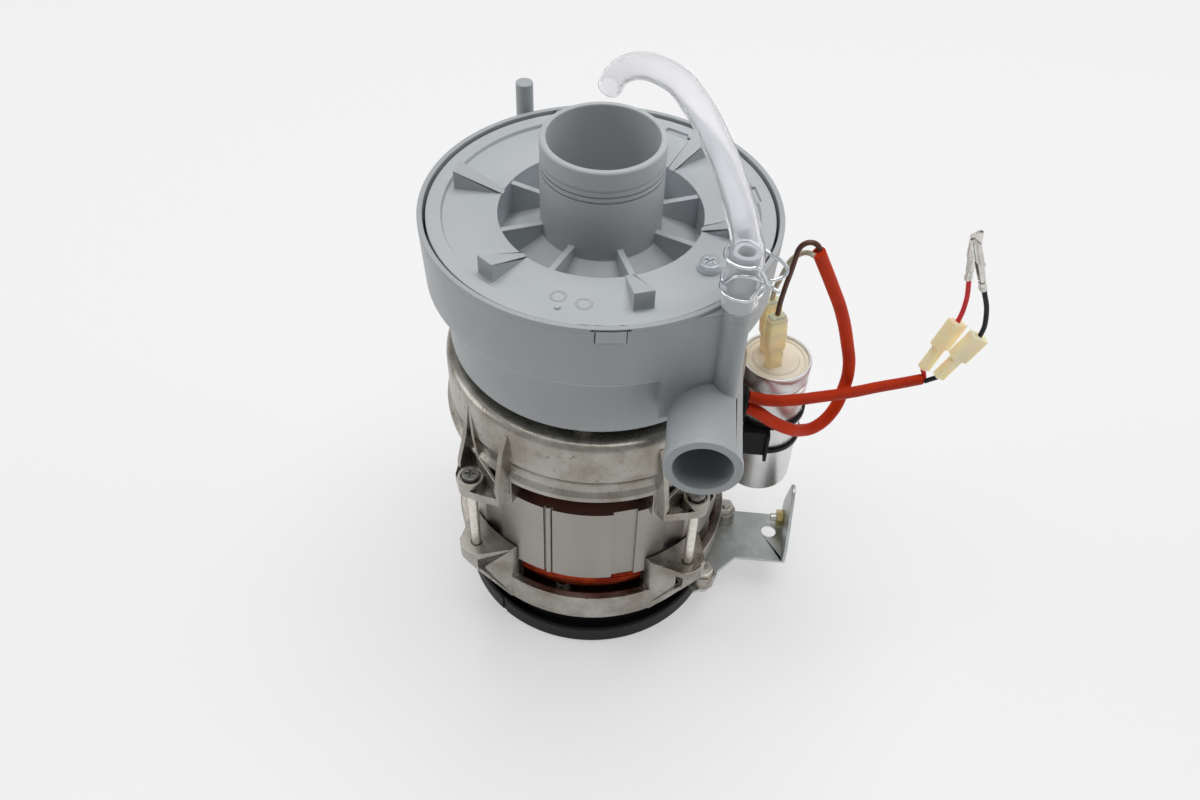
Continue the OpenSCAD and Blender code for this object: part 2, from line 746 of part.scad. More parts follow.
module drive_end_shield() {
    color([0.60, 0.59, 0.57])
        difference() {
            union() {
                rotate_extrude()
                    polygon([
                        [bearing_hub_r, upper_bearing_z], [bearing_hub_r, plate_top - plate_t],
                        [shield_in_r, plate_top - plate_t], [shield_in_r, shield_z],
                        [shield_r + lip_out, shield_z], [shield_r + lip_out, shield_z + 2.6],
                        [shield_r, shield_z + 4.4], [shield_r, shield_z + 10.4],
                        [shield_r - 0.7, shield_z + 11], [shield_r - 0.1, shield_z + 11.8],
                        [shield_r - 0.1, shield_top - 3], [shield_r + 0.5, shield_top - 2],
                        [shield_r + 0.5, shield_top], [shield_r - 2, shield_top],
                        [shield_r - 2.4, plate_top], [bearing_r - 4, plate_top],
                        [bearing_r - 4, upper_bearing_top], [bearing_r, upper_bearing_top],
                        [bearing_r, upper_bearing_z]
                    ]);
                // Pads that clamp the stator stack, between the window openings
                at_angles(bolt_angles)
                    intersection() {
                        ring(shield_r + 0.6, stack_r - 3.4, stack_top, shield_z + 1 - stack_top);
                        translate([stack_r - 8, -13, stack_top])
                            cube([20, 26, upper_window_h + 1]);
                    }
                difference() {
                    at_angles(bolt_angles) upper_lug();
                    translate([0, 0, upper_lug_z - 1])
                        cylinder(r = lug_seat_r, h = stack_top - upper_lug_z + 1);
                    translate([0, 0, stack_top - 0.1])
                        cylinder(r = stack_r - 3.4, h = plate_top - stack_top);
                }
                // Posts that carry the volute
                at_angles(post_angles)
                    translate([post_r, 0, plate_top - 2])
                        cylinder(r = 6, h = volute_z - plate_top + 2);
            }
            at_angles(post_angles)
                translate([post_r, 0, plate_top - plate_t - 1])
                    cylinder(d = volute_screw_d + 2 * seat_gap, h = volute_z);
            at_angles(bolt_angles) {
                translate([bolt_circle_r, 0, upper_lug_z - 1])
                    cylinder(r = bolt_r + bolt_gap, h = 20);
                // Recess of the bolt's head
                translate([bolt_circle_r, 0, upper_boss_top - 1.6])
                    cylinder(r = 4, h = 10);
                translate([bolt_circle_r - 3.4, 8.2, upper_lug_z - 1])
                    cylinder(r = 1.4, h = 8);
            }
            // Hole of the lead grommet
            grommet_core(0);
        }
}

module lower_lug() {
    outside = [
        [stack_r - 2, lower_lug_top], [bolt_circle_r + 6.4, lower_lug_top],
        [bolt_circle_r + 6.4, lower_lug_top - 7.5], [shield_r, rear_z + 3],
        [shield_r - 1, rear_z + 1], [stack_r - 2, rear_z + 1]
    ];
    hollow = [
        [stack_r - 4, lower_lug_top - 3.6], [bolt_circle_r + 4.2, lower_lug_top - 3.6],
        [bolt_circle_r + 4.2, lower_lug_top - 8], [shield_r + 0.5, rear_z + 9],
        [stack_r - 4, rear_z + 9]
    ];
    difference() {
        intersection() {
            radial_slab(outside, 30);
            translate([0, 0, rear_z])
                linear_extrude(lower_lug_top - rear_z)
                    polygon(lug_outline(stack_r - 2, 14));
        }
        radial_slab(hollow, 15);
    }
}

module rear_end_shield() {
    color([0.62, 0.61, 0.59])
        difference() {
            union() {
                rotate_extrude()
                    polygon([
                        [bearing_r - 4, rear_z], [shield_r - 0.5, rear_z],
                        [shield_r + 0.5, rear_top - 1], [shield_r + 0.3, rear_top],
                        [shield_in_r, rear_top], [shield_in_r - 1, rear_z + 3],
                        [bearing_hub_r, rear_z + 3], [bearing_hub_r, lower_bearing_top],
                        [bearing_r, lower_bearing_top], [bearing_r, lower_bearing_z],
                        [bearing_r - 4, lower_bearing_z]
                    ]);
                // Pads under the stator stack
                at_angles(bolt_angles)
                    intersection() {
                        ring(shield_r, stack_r - 3.4, rear_top - 6, stack_z - rear_top + 6);
                        translate([stack_r - 8, -13, rear_top - 6])
                            cube([20, 26, stack_z - rear_top + 6]);
                    }
                difference() {
                    at_angles(bolt_angles) lower_lug();
                    translate([0, 0, stack_z])
                        cylinder(r = lug_seat_r, h = stack_h);
                    translate([0, 0, rear_z - 1])
                        cylinder(r = stack_r - 3.4, h = stack_h);
                }
                at_angles(cowl_screw_angles)
                    translate([cowl_screw_r, 0, rear_z])
                        cylinder(r = 4, h = 8);
                // Bosses that the bracket is screwed to
                for (p = fix_points) {
                    translate([p[0], p[1], plate_under])
                        cylinder(r = 5, h = rear_z + fix_boss_h - plate_under);
                }
            }
            // Air windows round the bearing hub
            for (i = [0:5]) {
                rotate([0, 0, 50 + 60 * i])
                    intersection() {
                        ring(42, bearing_hub_r + 3, rear_z - 1, 6);
                        translate([0, -9, rear_z - 1]) cube([50, 18, 6]);
                    }
            }
            at_angles(cowl_screw_angles)
                translate([cowl_screw_r, 0, rear_z - 1])
                    cylinder(d = cowl_screw_d + 2 * seat_gap, h = 20);
            at_angles(bolt_angles)
                translate([bolt_circle_r, 0, lower_lug_top - 10])
                    cylinder(r = bolt_r + bolt_gap, h = 20);
            for (p = fix_points) {
                translate([p[0], p[1], plate_under - 1])
                    cylinder(r = fix_d / 2 + seat_gap, h = 20);
                // Room for the nut beside the ring
                translate([p[0], p[1], rear_z + fix_boss_h])
                    cylinder(r = 4.4, h = nut_h + 1.5);
            }
        }
}

module tie_bolts() {
    color([0.86, 0.85, 0.78])
        at_angles(bolt_angles)
            translate([bolt_circle_r, 0, upper_boss_top - 1.6])
                pan_screw(bolt_d, upper_boss_top - 1.6 - nut_z + 1, 3.5, bolt_head_h);
}

module tie_nuts() {
    color([0.80, 0.79, 0.70])
        at_angles(bolt_angles)
            translate([bolt_circle_r, 0, nut_z])
                rotate([0, 0, 30])
                    hex_nut(nut_across, bolt_r + seat_gap, nut_h);
}

// Slot of the stator with a round bottom and a narrow mouth
module slot_shape(shrink) {
    w = slot_w - 2 * shrink;
    translate([slot_in_r + shrink, -w / 2]) square([slot_out_r - slot_in_r, w]);
    translate([slot_out_r + shrink, 0]) circle(d = w);
}

module stator_stack() {
    color([0.56, 0.55, 0.53]) {
        translate([0, 0, stack_z])
            linear_extrude(stack_h)
                difference() {
                    circle(r = stack_r);
                    circle(r = stack_bore_r);
                    at_angles([for (i = [0:slot_count - 1]) 360 * i / slot_count]) {
                        slot_shape(0);
                        translate([stack_bore_r - 1, -0.9]) square([6, 1.8]);
                    }
                    // Shallow valleys beside the tie bolts
                    at_angles(bolt_angles)
                        translate([stack_r + 8, 0]) circle(r = 10);
                    rotate([0, 0, flat_angle])
                        translate([stack_r - 1.5, -5]) square([3, 10]);
                    at_angles(bead_angles)
                        translate([stack_r - 1.2, -1.9]) square([3, 3.8]);
                }
        // Welded beads that hold the sheets together
        at_angles(bead_angles)
            translate([stack_r - 0.9, 0, stack_z])
                cylinder(r = 1.4, h = stack_h + 1.2);
    }
}

module slot_conductors() {
    color([0.55, 0.22, 0.08])
        translate([0, 0, stack_z])
            linear_extrude(stack_h)
                at_angles([for (i = [0:slot_count - 1]) 360 * i / slot_count])
                    slot_shape(0.2);
}

// Bundle of a winding head with rounded edges
module winding_core(z) {
    color([0.50, 0.20, 0.08])
        translate([0, 0, z])
            rotate_extrude()
                polygon(concat(
                    arc_points([head_core_r - 2, 2], 2, -90, 0, 3),
                    arc_points([head_core_r - 2, head_h - 2], 2, 0, 90, 3),
                    arc_points([head_in_r + 2, head_h - 2], 2, 90, 180, 3),
                    arc_points([head_in_r + 2, 2], 2, 180, 270, 3)
                ));
}

module upper_winding_core() {
    winding_core(stack_top);
}

module lower_winding_core() {
    winding_core(stack_z - head_h);
}

// Turns that show on the outside of a winding head, one unbroken wire
rings_per_turn = 24;
turn_r = (head_core_r + wire_d / 2 + seat_gap) / cos(180 / rings_per_turn);
turn_ring_count = turn_count * rings_per_turn;

function turn_route(z) =
    [for (i = [0:turn_ring_count])
        let (a = 360 * i / rings_per_turn)
        [turn_r * cos(a), turn_r * sin(a), z + wire_d / 2 + wire_pitch * i / rings_per_turn]];

turn_gaps = [for (i = [0:turn_ring_count - rings_per_turn])
    norm(turn_route(0)[i + rings_per_turn] - turn_route(0)[i]) - wire_d];
echo(least_gap_between_turns = min(turn_gaps));

module winding_turns(z) {
    color([0.62, 0.26, 0.10])
        solid_tube(turn_route(z), wire_d, 6, [0, 0, 1]);
}

module upper_winding_turns() {
    winding_turns(stack_top + 0.3);
}

module lower_winding_turns() {
    winding_turns(stack_z - head_h);
}

module rotor_shaft() {
    color([0.75, 0.76, 0.77])
        rotate_extrude()
            polygon([
                [0, shaft_bottom], [stub_r - 0.5, shaft_bottom], [stub_r, shaft_bottom + 0.5],
                [stub_r, fan_top + 1], [shaft_r, fan_top + 1],
                [shaft_r, lower_bearing_top + 2], [rotor_shaft_r, lower_bearing_top + 2],
                [rotor_shaft_r, upper_bearing_z - 2], [shaft_r, upper_bearing_z - 2],
                [shaft_r, impeller_z], [stub_r, impeller_z],
                [stub_r, shaft_top - 0.6], [stub_r - 0.6, shaft_top], [0, shaft_top]
            ]);
}

module rotor_core() {
    color([0.55, 0.55, 0.56])
        ring(rotor_r, rotor_shaft_r, stack_z, stack_h);
}

// Cast end rings with short cooling fins
module rotor_end_rings() {
    color([0.78, 0.79, 0.80])
        for (z = [stack_z - 6, stack_top]) {
            ring(rotor_r - 1.5, 20, z, 6);
            at_angles([for (i = [0:5]) 60 * i])
                translate([23, -0.9, z > stack_z ? z + 5.5 : z - 4.5])
                    cube([6, 1.8, 5]);
        }
}

module water_slinger() {
    color([0.12, 0.12, 0.12])
        translate([0, 0, plate_top + 2.4])
            rotate_extrude()
                polygon([[shaft_r, 0], [9, 0], [12.4, 1], [12.4, 2], [8, 2.6], [shaft_r, 2.6]]);
}

// One backward-curved vane as a thin crescent seen from above
module vane_shape() {
    intersection() {
        difference() {
            circle(r = impeller_r + 1);
            circle(r = 14);
        }
        translate([vane_offset, 0])
            difference() {
                circle(r = vane_arc_r);
                circle(r = vane_arc_r - vane_t);
                translate([-60, -120]) square([120, 120]);
            }
    }
}

module impeller() {
    low = impeller_z + impeller_back_t;
    shroud_low = impeller_z + 10.6;
    shroud_high = eye_top - 8;
    color([0.88, 0.88, 0.86])
        union() {
            rotate_extrude()
                polygon([
                    [stub_r, impeller_z], [impeller_r, impeller_z], [impeller_r, low],
                    [9, low], [9, impeller_hub_top - 1], [8, impeller_hub_top],
                    [stub_r, impeller_hub_top]
                ]);
            // Front shroud with the ring of the suction eye
            rotate_extrude()
                polygon([
                    [impeller_r, shroud_low], [impeller_r, shroud_low + 2.2],
                    [eye_in_r + 2.3, shroud_high + 2], [eye_in_r + 2.3, eye_top],
                    [eye_in_r, eye_top], [eye_in_r, shroud_high]
                ]);
            intersection() {
                translate([0, 0, low - 1])
                    linear_extrude(40)
                        at_angles([for (i = [0:vane_count - 1]) 360 * i / vane_count])
                            vane_shape();
                rotate_extrude()
                    polygon([
                        [12, low - 0.6], [impeller_r - 0.4, low - 0.6],
                        [impeller_r - 0.4, shroud_low + 1],
                        [eye_in_r + 1.2, shroud_high - 0.1], [12, shroud_high - 7]
                    ]);
            }
        }
}

module impeller_nut() {
    color([0.78, 0.70, 0.45])
        translate([0, 0, impeller_hub_top])
            hex_nut(13, stub_r, impeller_nut_h);
}

module seal_seat() {
    color([0.90, 0.90, 0.88])
        ring(hub_bore_r, 7.5, seat_z, 5);
}

module seal_ring() {
    color([0.20, 0.20, 0.21])
        ring(10.6, 6.4, ring_z, 3);
}

module seal_bellows() {
    color([0.12, 0.12, 0.12])
        rotate_extrude()
            polygon([
                [shaft_r, ring_z + 0.6], [6.4, ring_z + 0.6], [6.4, ring_z + 3],
                [9.5, ring_z + 3], [8, ring_z + 4.2], [9.5, impeller_z], [shaft_r, impeller_z]
            ]);
}

// Sealed ball bearing: outer race with its shields, and inner race
bearing_inner_r = shaft_r + 2.6;

module bearing_outer(z) {
    color([0.80, 0.81, 0.82])
        translate([0, 0, z])
            rotate_extrude()
                polygon([
                    [bearing_r, 0], [bearing_r, bearing_w], [bearing_inner_r + run_gap, bearing_w],
                    [bearing_inner_r + run_gap, bearing_w - 1], [bearing_r - 3, bearing_w - 1],
                    [bearing_r - 3, 1], [bearing_inner_r + run_gap, 1], [bearing_inner_r + run_gap, 0]
                ]);
}

module bearing_inner(z) {
    color([0.85, 0.86, 0.87])
        ring(bearing_inner_r, shaft_r, z, bearing_w);
}

module upper_bearing_outer() {
    bearing_outer(upper_bearing_z);
}

module upper_bearing_inner() {
    bearing_inner(upper_bearing_z);
}

module lower_bearing_outer() {
    bearing_outer(lower_bearing_z);
}

module lower_bearing_inner() {
    bearing_inner(lower_bearing_z);
}

module cooling_fan() {
    color([0.16, 0.16, 0.17]) {
        ring(9, stub_r, fan_z + 2, fan_top - fan_z - 2);
        ring(fan_r, 8, fan_top - 2, 2);
        at_angles([for (i = [0:blade_count - 1]) 360 * i / blade_count])
            translate([8, -1, fan_z])
                cube([fan_r - 9, 2, fan_top - fan_z - 1]);
    }
}

module fan_cowl() {
    spoke_h = 2.4;
    color([0.13, 0.13, 0.13])
        difference() {
            union() {
                rotate_extrude()
                    polygon([
                        [foot_r - 1, 0], [foot_r, 1], [foot_r, foot_h - 0.8],
                        [foot_r - 0.8, foot_h], [neck_r, foot_h], [neck_r, cowl_h],
                        [neck_r - cowl_wall, cowl_h], [neck_r - cowl_wall, foot_h - cowl_wall],
                        [foot_r - cowl_wall, foot_h - cowl_wall - 1], [foot_r - cowl_wall, 0]
                    ]);
                // Inlet grille: rings, spokes and a closed centre
                cylinder(r = 16, h = spoke_h);
                ring(36, 34, 0, spoke_h);
                ring(foot_r - 1, neck_r - 2, 0, spoke_h);
                at_angles([for (i = [0:11]) 30 * i + 5])
                    translate([14, -1.3, 0]) cube([neck_r - 15, 2.6, spoke_h]);
                at_angles(cowl_screw_angles)
                    translate([cowl_screw_r, 0, 0]) cylinder(r = 4, h = cowl_h);
            }
            at_angles(cowl_screw_angles) {
                translate([cowl_screw_r, 0, -1])
                    cylinder(d = cowl_screw_d + 2 * seat_gap, h = 40);
                translate([cowl_screw_r, 0, -1]) cylinder(r = 3, h = 4);
            }
            // Notch in the foot's rim
            rotate([0, 0, 232])
                translate([foot_r - 0.8, -1.2, -1]) cube([4, 2.4, foot_h + 2]);
        }
}

module cowl_screws() {
    color([0.75, 0.75, 0.74])
        at_angles(cowl_screw_angles)
            translate([cowl_screw_r, 0, 3])
                rotate([180, 0, 0])
                    pan_screw(cowl_screw_d, rear_z + 4, 2.8, 2);
}

// Bracket: bottom plate with an ear under the rear shield, and an upright flange
module mounting_bracket() {
    color([0.66, 0.68, 0.68])
        difference() {
            union() {
                translate([0, 0, plate_z])
                    linear_extrude(sheet_t)
                        polygon([
                            [shield_r - 2.5, 9], [flange_x + sheet_t, 9],
                            [flange_x + sheet_t, -18.6], [shield_r + 8.5, -18.8],
                            [shield_r + 1, -27], [shield_r - 2, -36], [shield_r - 10.5, -40],
                            [shield_r - 14, -35], [shield_r - 11, -28.5],
                            [shield_r - 4, -15], [shield_r - 2.5, -2]
                        ]);
                translate([flange_x, 0, 0])
                    rotate([90, 0, 90])
                        linear_extrude(sheet_t)
                            polygon(concat(
                                [[-18.6, plate_z], [9, plate_z], [9, stud_z + 6]],
                                arc_points([-3.4, flange_top - 4], 4, 20, 160, 6),
                                [[-18.6, stud_z + 2]]
                            ));
            }
            translate([mount_x, mount_y, plate_z - 1]) cylinder(d = mount_hole_d, h = 10);
            for (p = fix_points) {
                translate([p[0], p[1], plate_z - 1])
                    cylinder(r = fix_d / 2 + seat_gap, h = 10);
            }
            translate([flange_x - 1, stud_y, stud_z])
                rotate([0, 90, 0])
                    cylinder(r = fix_d / 2 + seat_gap, h = 10);
        }
}

module bracket_screws() {
    color([0.80, 0.80, 0.78])
        for (p = fix_points) {
            translate([p[0], p[1], plate_z])
                rotate([180, 0, 0])
                    pan_screw(fix_d, rear_z + fix_boss_h + 4.4 - plate_z, 3.6, 2.6);
        }
}

module bracket_nuts() {
    color([0.80, 0.78, 0.66])
        for (p = fix_points) {
            translate([p[0], p[1], rear_z + fix_boss_h])
                hex_nut(nut_across, fix_d / 2 + seat_gap, nut_h);
        }
}

module earth_stud() {
    color([0.80, 0.80, 0.78])
        translate([flange_x + sheet_t, stud_y, stud_z])
            rotate([0, 90, 0])
                pan_screw(fix_d, 7.5, 3.6, 2.4);
}

module earth_nut() {
    color([0.82, 0.72, 0.40])
        translate([flange_x - nut_h, stud_y, stud_z])
            rotate([0, 90, 0])
                hex_nut(nut_across, fix_d / 2 + seat_gap, nut_h);
}

// Can with a rolled groove under its lid and a crimped rim
module capacitor_can() {
    color([0.80, 0.80, 0.80])
        translate([can_x, can_y, can_z])
            rotate_extrude()
                polygon(concat(
                    [[0, 0]],
                    arc_points([can_r - 2, 2], 2, -90, 0, 4),
                    arc_points([can_r + 0.9, can_h - 9], 2.2, 240, 120, 6),
                    [
                        [can_r, can_h - 1], [can_r - 0.5, can_h], [can_r - 1.2, can_h],
                        [can_r - 1.2, can_h - 5], [0, can_h - 5]
                    ]
                ));
}

module capacitor_lid() {
    color([0.92, 0.88, 0.80])
        translate([can_x, can_y, can_top - 5])
            rotate_extrude()
                polygon([
                    [0, 0], [can_r - 1.2, 0], [can_r - 1.2, 3.4], [can_r - 3, 4],
                    [can_r - 3.4, 3.2], [can_r - 5, 3.2], [can_r - 5.6, 4], [0, 4]
                ]);
}

module capacitor_blades() {
    color([0.78, 0.78, 0.76])
        for (p = boot_feet) {
            translate([p[0] - 3.15, p[1] - 0.4, cap_top]) cube([6.3, 0.8, blade_h]);
        }
}

// Soft insulating boots over the two terminals
module terminal_boots() {
    color([0.91, 0.88, 0.72])
        for (i = [0, 1]) {
            foot = boot_feet[i];
            difference() {
                hull() {
                    translate([foot[0] - 4.2, foot[1] - 2.6, cap_top]) cube([8.4, 5.2, 9]);
                    translate([boot_tops[i][0], boot_tops[i][1], boot_tops[i][2] - 1])
                        cylinder(d = 5.2, h = 1, $fn = 24);
                }
                translate([foot[0] - 3.2, foot[1] - 0.45, cap_top - 1])
                    cube([6.4, 0.9, blade_h + 1.1]);
            }
        }
}

// Strap round the can with its saddle against the stack, and the buckle outside it
module capacitor_clip() {
    color([0.10, 0.10, 0.11]) {
        translate([0, 0, strap_z])
            linear_extrude(strap_w)
                difference() {
                    union() {
                        translate([can_x, can_y]) circle(r = can_r + strap_t);
                        rotate([0, 0, can_angle])
                            translate([stack_r - 3, -7])
                                square([can_reach - stack_r - can_r + 6, 14]);
                    }
                    circle(r = stack_r);
                    translate([can_x, can_y]) circle(r = can_r);
                }
        translate([can_x, can_y, strap_z + 1])
            linear_extrude(strap_w + 6)
                difference() {
                    translate([-10.5, -can_r - 4.4]) square([8.5, 7.4]);
                    circle(r = can_r + strap_t / 3);
                }
    }
}

// Oval outline that goes round both leads, seen from outside
module lead_oval(r) {
    for (z = [lead_a_z, lead_b_z]) {
        translate([0, z]) circle(r = r);
    }
    translate([-r, lead_a_z]) square([2 * r, lead_b_z - lead_a_z]);
}

// Core of the grommet through the drive end shield's wall
module grommet_core(shrink) {
    translate([shield_r - 8, lead_y, 0])
        rotate([90, 0, 90])
            linear_extrude(grommet_out - grommet_flange_t - shield_r + 8)
                lead_oval(grommet_r - shrink);
}

module lead_grommet() {
    color([0.12, 0.12, 0.12]) {
        grommet_core(seat_gap);
        translate([grommet_out - grommet_flange_t, lead_y, 0])
            rotate([90, 0, 90])
                linear_extrude(grommet_flange_t)
                    lead_oval(grommet_r + 1);
    }
}

module capacitor_sleeve() {
    color([0.70, 0.20, 0.11])
        solid_tube(sleeve_a_route, sleeve_a_d, 10, [0.1, 1, 0.1]);
}

module supply_sleeve() {
    color([0.70, 0.20, 0.11])
        solid_tube(sleeve_b_route, sleeve_b_d, 10, [0, 0, 1]);
}

module capacitor_lead_brown() {
    color([0.35, 0.20, 0.12])
        solid_tube(brown_route, lead_d, 8, [0, 1, 0]);
}

module capacitor_lead_white() {
    color([0.84, 0.78, 0.68])
        solid_tube(white_route, lead_d, 8, [0, 1, 0]);
}

// A supply lead: from the sleeve to its housing, and on to its terminal
module supply_lead(i) {
    sleeve_end = sleeve_b_route[len(sleeve_b_route) - 1];
    start = sleeve_end + [1.5, 0.8 - 2.4 * i, 0.6];
    solid_tube([start, (start + housing_feet[i]) / 2, housing_feet[i]], lead_d, 8, [0, 1, 0]);
    solid_tube([housing_tops[i], lead_bends[i], terminal_feet[i]], lead_d, 8, [0, 1, 0]);
}

module supply_lead_red() {
    color([0.75, 0.13, 0.13]) supply_lead(0);
}

module supply_lead_black() {
    color([0.12, 0.12, 0.13]) supply_lead(1);
}

// Insulating housings, wider at the joint than where the leads enter
module connector_housings() {
    color([0.91, 0.89, 0.76])
        for (i = [0, 1]) {
            from_to(housing_feet[i], housing_tops[i]) {
                length = norm(housing_tops[i] - housing_feet[i]);
                translate([-3.2, -2.2, 0]) cube([6.4, 4.4, length]);
                translate([-4.6, -2.6, length * 0.45]) cube([9.2, 5.2, length * 0.45]);
            }
        }
}

// Crimped receptacles for 6.3 mm tabs
module receptacle_terminals() {
    color([0.80, 0.79, 0.76])
        for (i = [0, 1]) {
            from_to(terminal_feet[i], terminal_tops[i]) {
                length = norm(terminal_tops[i] - terminal_feet[i]);
                cylinder(r = 1.8, h = 7, $fn = 24);
                rotate([0, 0, i == 0 ? 90 : 0]) {
                    translate([-0.9, -1.6, 6.5]) cube([1.8, 3.2, 5]);
                    difference() {
                        translate([-1.3, -3.7, 11]) cube([2.6, 7.4, length - 11]);
                        translate([-0.5, -3.15, 12]) cube([1, 6.3, length]);
                    }
                }
            }
        }
}

volute_body();
suction_cover();
cover_seal();
cover_lock_screw();
volute_screws();
vent_hose();
hose_clamp();
drive_end_shield();
rear_end_shield();
tie_bolts();
tie_nuts();
stator_stack();
slot_conductors();
upper_winding_core();
lower_winding_core();
upper_winding_turns();
lower_winding_turns();
rotor_shaft();
rotor_core();
rotor_end_rings();
water_slinger();
impeller();
impeller_nut();
seal_seat();
seal_ring();
seal_bellows();
upper_bearing_outer();
upper_bearing_inner();
lower_bearing_outer();
lower_bearing_inner();
cooling_fan();
fan_cowl();
cowl_screws();
mounting_bracket();
bracket_screws();
bracket_nuts();
earth_stud();
earth_nut();
capacitor_can();
capacitor_lid();
capacitor_blades();
terminal_boots();
capacitor_clip();
lead_grommet();
capacitor_sleeve();
capacitor_lead_brown();
capacitor_lead_white();
supply_sleeve();
supply_lead_red();
supply_lead_black();
connector_housings();
receptacle_terminals();
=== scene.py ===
import json
import math

import bmesh
import bpy
from mathutils import Matrix, Vector

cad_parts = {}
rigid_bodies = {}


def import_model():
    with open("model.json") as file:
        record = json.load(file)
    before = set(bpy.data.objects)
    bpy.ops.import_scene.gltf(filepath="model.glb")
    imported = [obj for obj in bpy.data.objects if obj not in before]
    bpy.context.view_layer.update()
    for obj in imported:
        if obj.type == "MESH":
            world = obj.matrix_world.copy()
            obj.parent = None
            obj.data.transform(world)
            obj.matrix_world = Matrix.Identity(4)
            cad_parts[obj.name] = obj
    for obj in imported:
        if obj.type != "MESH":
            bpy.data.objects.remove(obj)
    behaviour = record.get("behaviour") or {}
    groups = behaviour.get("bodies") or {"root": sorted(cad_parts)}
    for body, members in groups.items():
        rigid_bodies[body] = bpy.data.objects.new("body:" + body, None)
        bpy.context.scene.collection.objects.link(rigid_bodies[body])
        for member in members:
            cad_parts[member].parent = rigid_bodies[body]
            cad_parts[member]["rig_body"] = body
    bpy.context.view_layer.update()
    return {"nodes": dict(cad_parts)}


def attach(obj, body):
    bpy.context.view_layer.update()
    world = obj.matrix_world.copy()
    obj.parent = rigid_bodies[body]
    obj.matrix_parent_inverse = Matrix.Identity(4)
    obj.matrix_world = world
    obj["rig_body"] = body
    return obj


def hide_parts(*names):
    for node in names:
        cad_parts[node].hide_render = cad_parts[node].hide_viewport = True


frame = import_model()
mm = 0.001
print("frame loaded:", len(frame["nodes"]), "nodes")


# shader helpers: a socket that takes Python's operators, and one way to add any node
class Value:
    def __init__(self, finish, socket):
        self.finish = finish
        self.socket = socket

    def maths(self, operation, *values):
        return self.finish.node("Math", {"operation": operation}, dict(enumerate(values)))

    def __add__(self, other):
        return self.maths("ADD", self, other)

    def __sub__(self, other):
        return self.maths("SUBTRACT", self, other)

    def __rsub__(self, other):
        return self.maths("SUBTRACT", other, self)

    def __mul__(self, other):
        return self.maths("MULTIPLY", self, other)

    def size(self):
        return self.maths("ABSOLUTE", self)

    def sine(self):
        return self.maths("SINE", self)

    def step(self, low, high):  # 0 below low, 1 above high, smooth between
        return self.finish.node("MapRange", {"interpolation_type": "SMOOTHSTEP"},
                                {"Value": self, "From Min": low, "From Max": high}, "Result")


class Finish:
    def __init__(self, name, sockets):
        self.material = bpy.data.materials.new(name)
        self.material.use_nodes = True
        self.tree = self.material.node_tree
        self.shader = self.tree.nodes["Principled BSDF"]
        self.point = self.node("TexCoord", output="Object")
        self.set(sockets)

    def node(self, kind, settings=None, inputs=None, output=0):
        made = self.tree.nodes.new("ShaderNode" + kind)
        for key, value in (settings or {}).items():
            setattr(made, key, value)
        for key, value in (inputs or {}).items():
            self.feed(made.inputs[key], value)
        return Value(self, made.outputs[output])

    def feed(self, socket, value):
        if isinstance(value, Value):
            self.tree.links.new(value.socket, socket)
        else:
            socket.default_value = value

    def set(self, sockets):
        for key, value in sockets.items():
            self.feed(self.shader.inputs[key], value)

    def noise(self, scale, detail=3, stretch=None, roughness=0.55):
        where = self.point
        if stretch:
            where = self.node("Mapping", None, {"Vector": self.point, "Scale": stretch})
        return self.node("TexNoise", None, {"Vector": where, "Scale": scale, "Detail": detail,
                                            "Roughness": roughness})

    def blend(self, factor, first, second):
        return self.node("Mix", {"data_type": "RGBA"}, {0: factor, 6: first, 7: second}, 2)

    def tones(self, factor, look):  # from a look's dark colour to its light one
        return self.blend(factor, paint(*look["dark"]), paint(*look["light"]))

    def bump(self, height, depth, under=None):  # depth in millimetres
        inputs = {"Height": height, "Distance": depth * mm, "Strength": 1.0}
        if under:
            inputs["Normal"] = under
        return self.node("Bump", None, inputs)

    def axis(self, letter, of=None):
        return self.node("SeparateXYZ", None, {"Vector": of or self.point}, letter)

    def radius(self):  # distance from the shaft
        flat = self.node("VectorMath", {"operation": "MULTIPLY"}, {0: self.point, 1: (1, 1, 0)})
        return self.node("VectorMath", {"operation": "LENGTH"}, {0: flat}, "Value")


def paint(red, green, blue):  # 0 to 255 as seen on a screen
    linear = [((c / 255 + 0.055) / 1.055) ** 2.4 if c > 10 else c / 3295
              for c in (red, green, blue)]
    return (*linear, 1)


# finishes: one function for each kind of surface, with a look for each material
patchEdges = (0.3, 0.7)  # where noise turns from the dark tone to the light one
grainShare = 0.12  # how far fine grain changes the roughness
seamEdge, seamShare = 0.05, 0.35  # sharp side of a seam in millimetres, strength of its painted light


def greyPlastic(name, look):
    made = Finish(name, {"Specular IOR Level": 0.35})
    flow = made.noise(look["flowScale"], 2, (1, 1, 0.4)).step(0.35, 0.65)
    fine = made.noise(look["grainScale"], 4)
    worn = made.noise(look["grainScale"] / 12, 3).step(0.3, 0.8) * grainShare
    height = made.axis("Z")
    marks = [1 - (height - level * mm).size().step(seamEdge * mm, look["seamWidth"] * mm)
             for level in look["seams"]]
    outside = made.radius().step((look["seamFrom"] - 0.2) * mm, look["seamFrom"] * mm)
    seam = sum(marks[1:], marks[0]) * outside
    grain = made.bump(fine, look["grainDepth"])
    # the seam's colour is painted light: a lighter line is a painted highlight on a bead, a darker
    # one is painted shade in a groove
    made.set({
        "Base Color": made.blend(seam * seamShare, made.tones(flow, look),
                                 paint(*look["seamPaintedLight"])),
        "Normal": made.bump(seam, look["seamHeight"], grain),
        "Roughness": worn + look["roughness"] - 0.05})
    return made


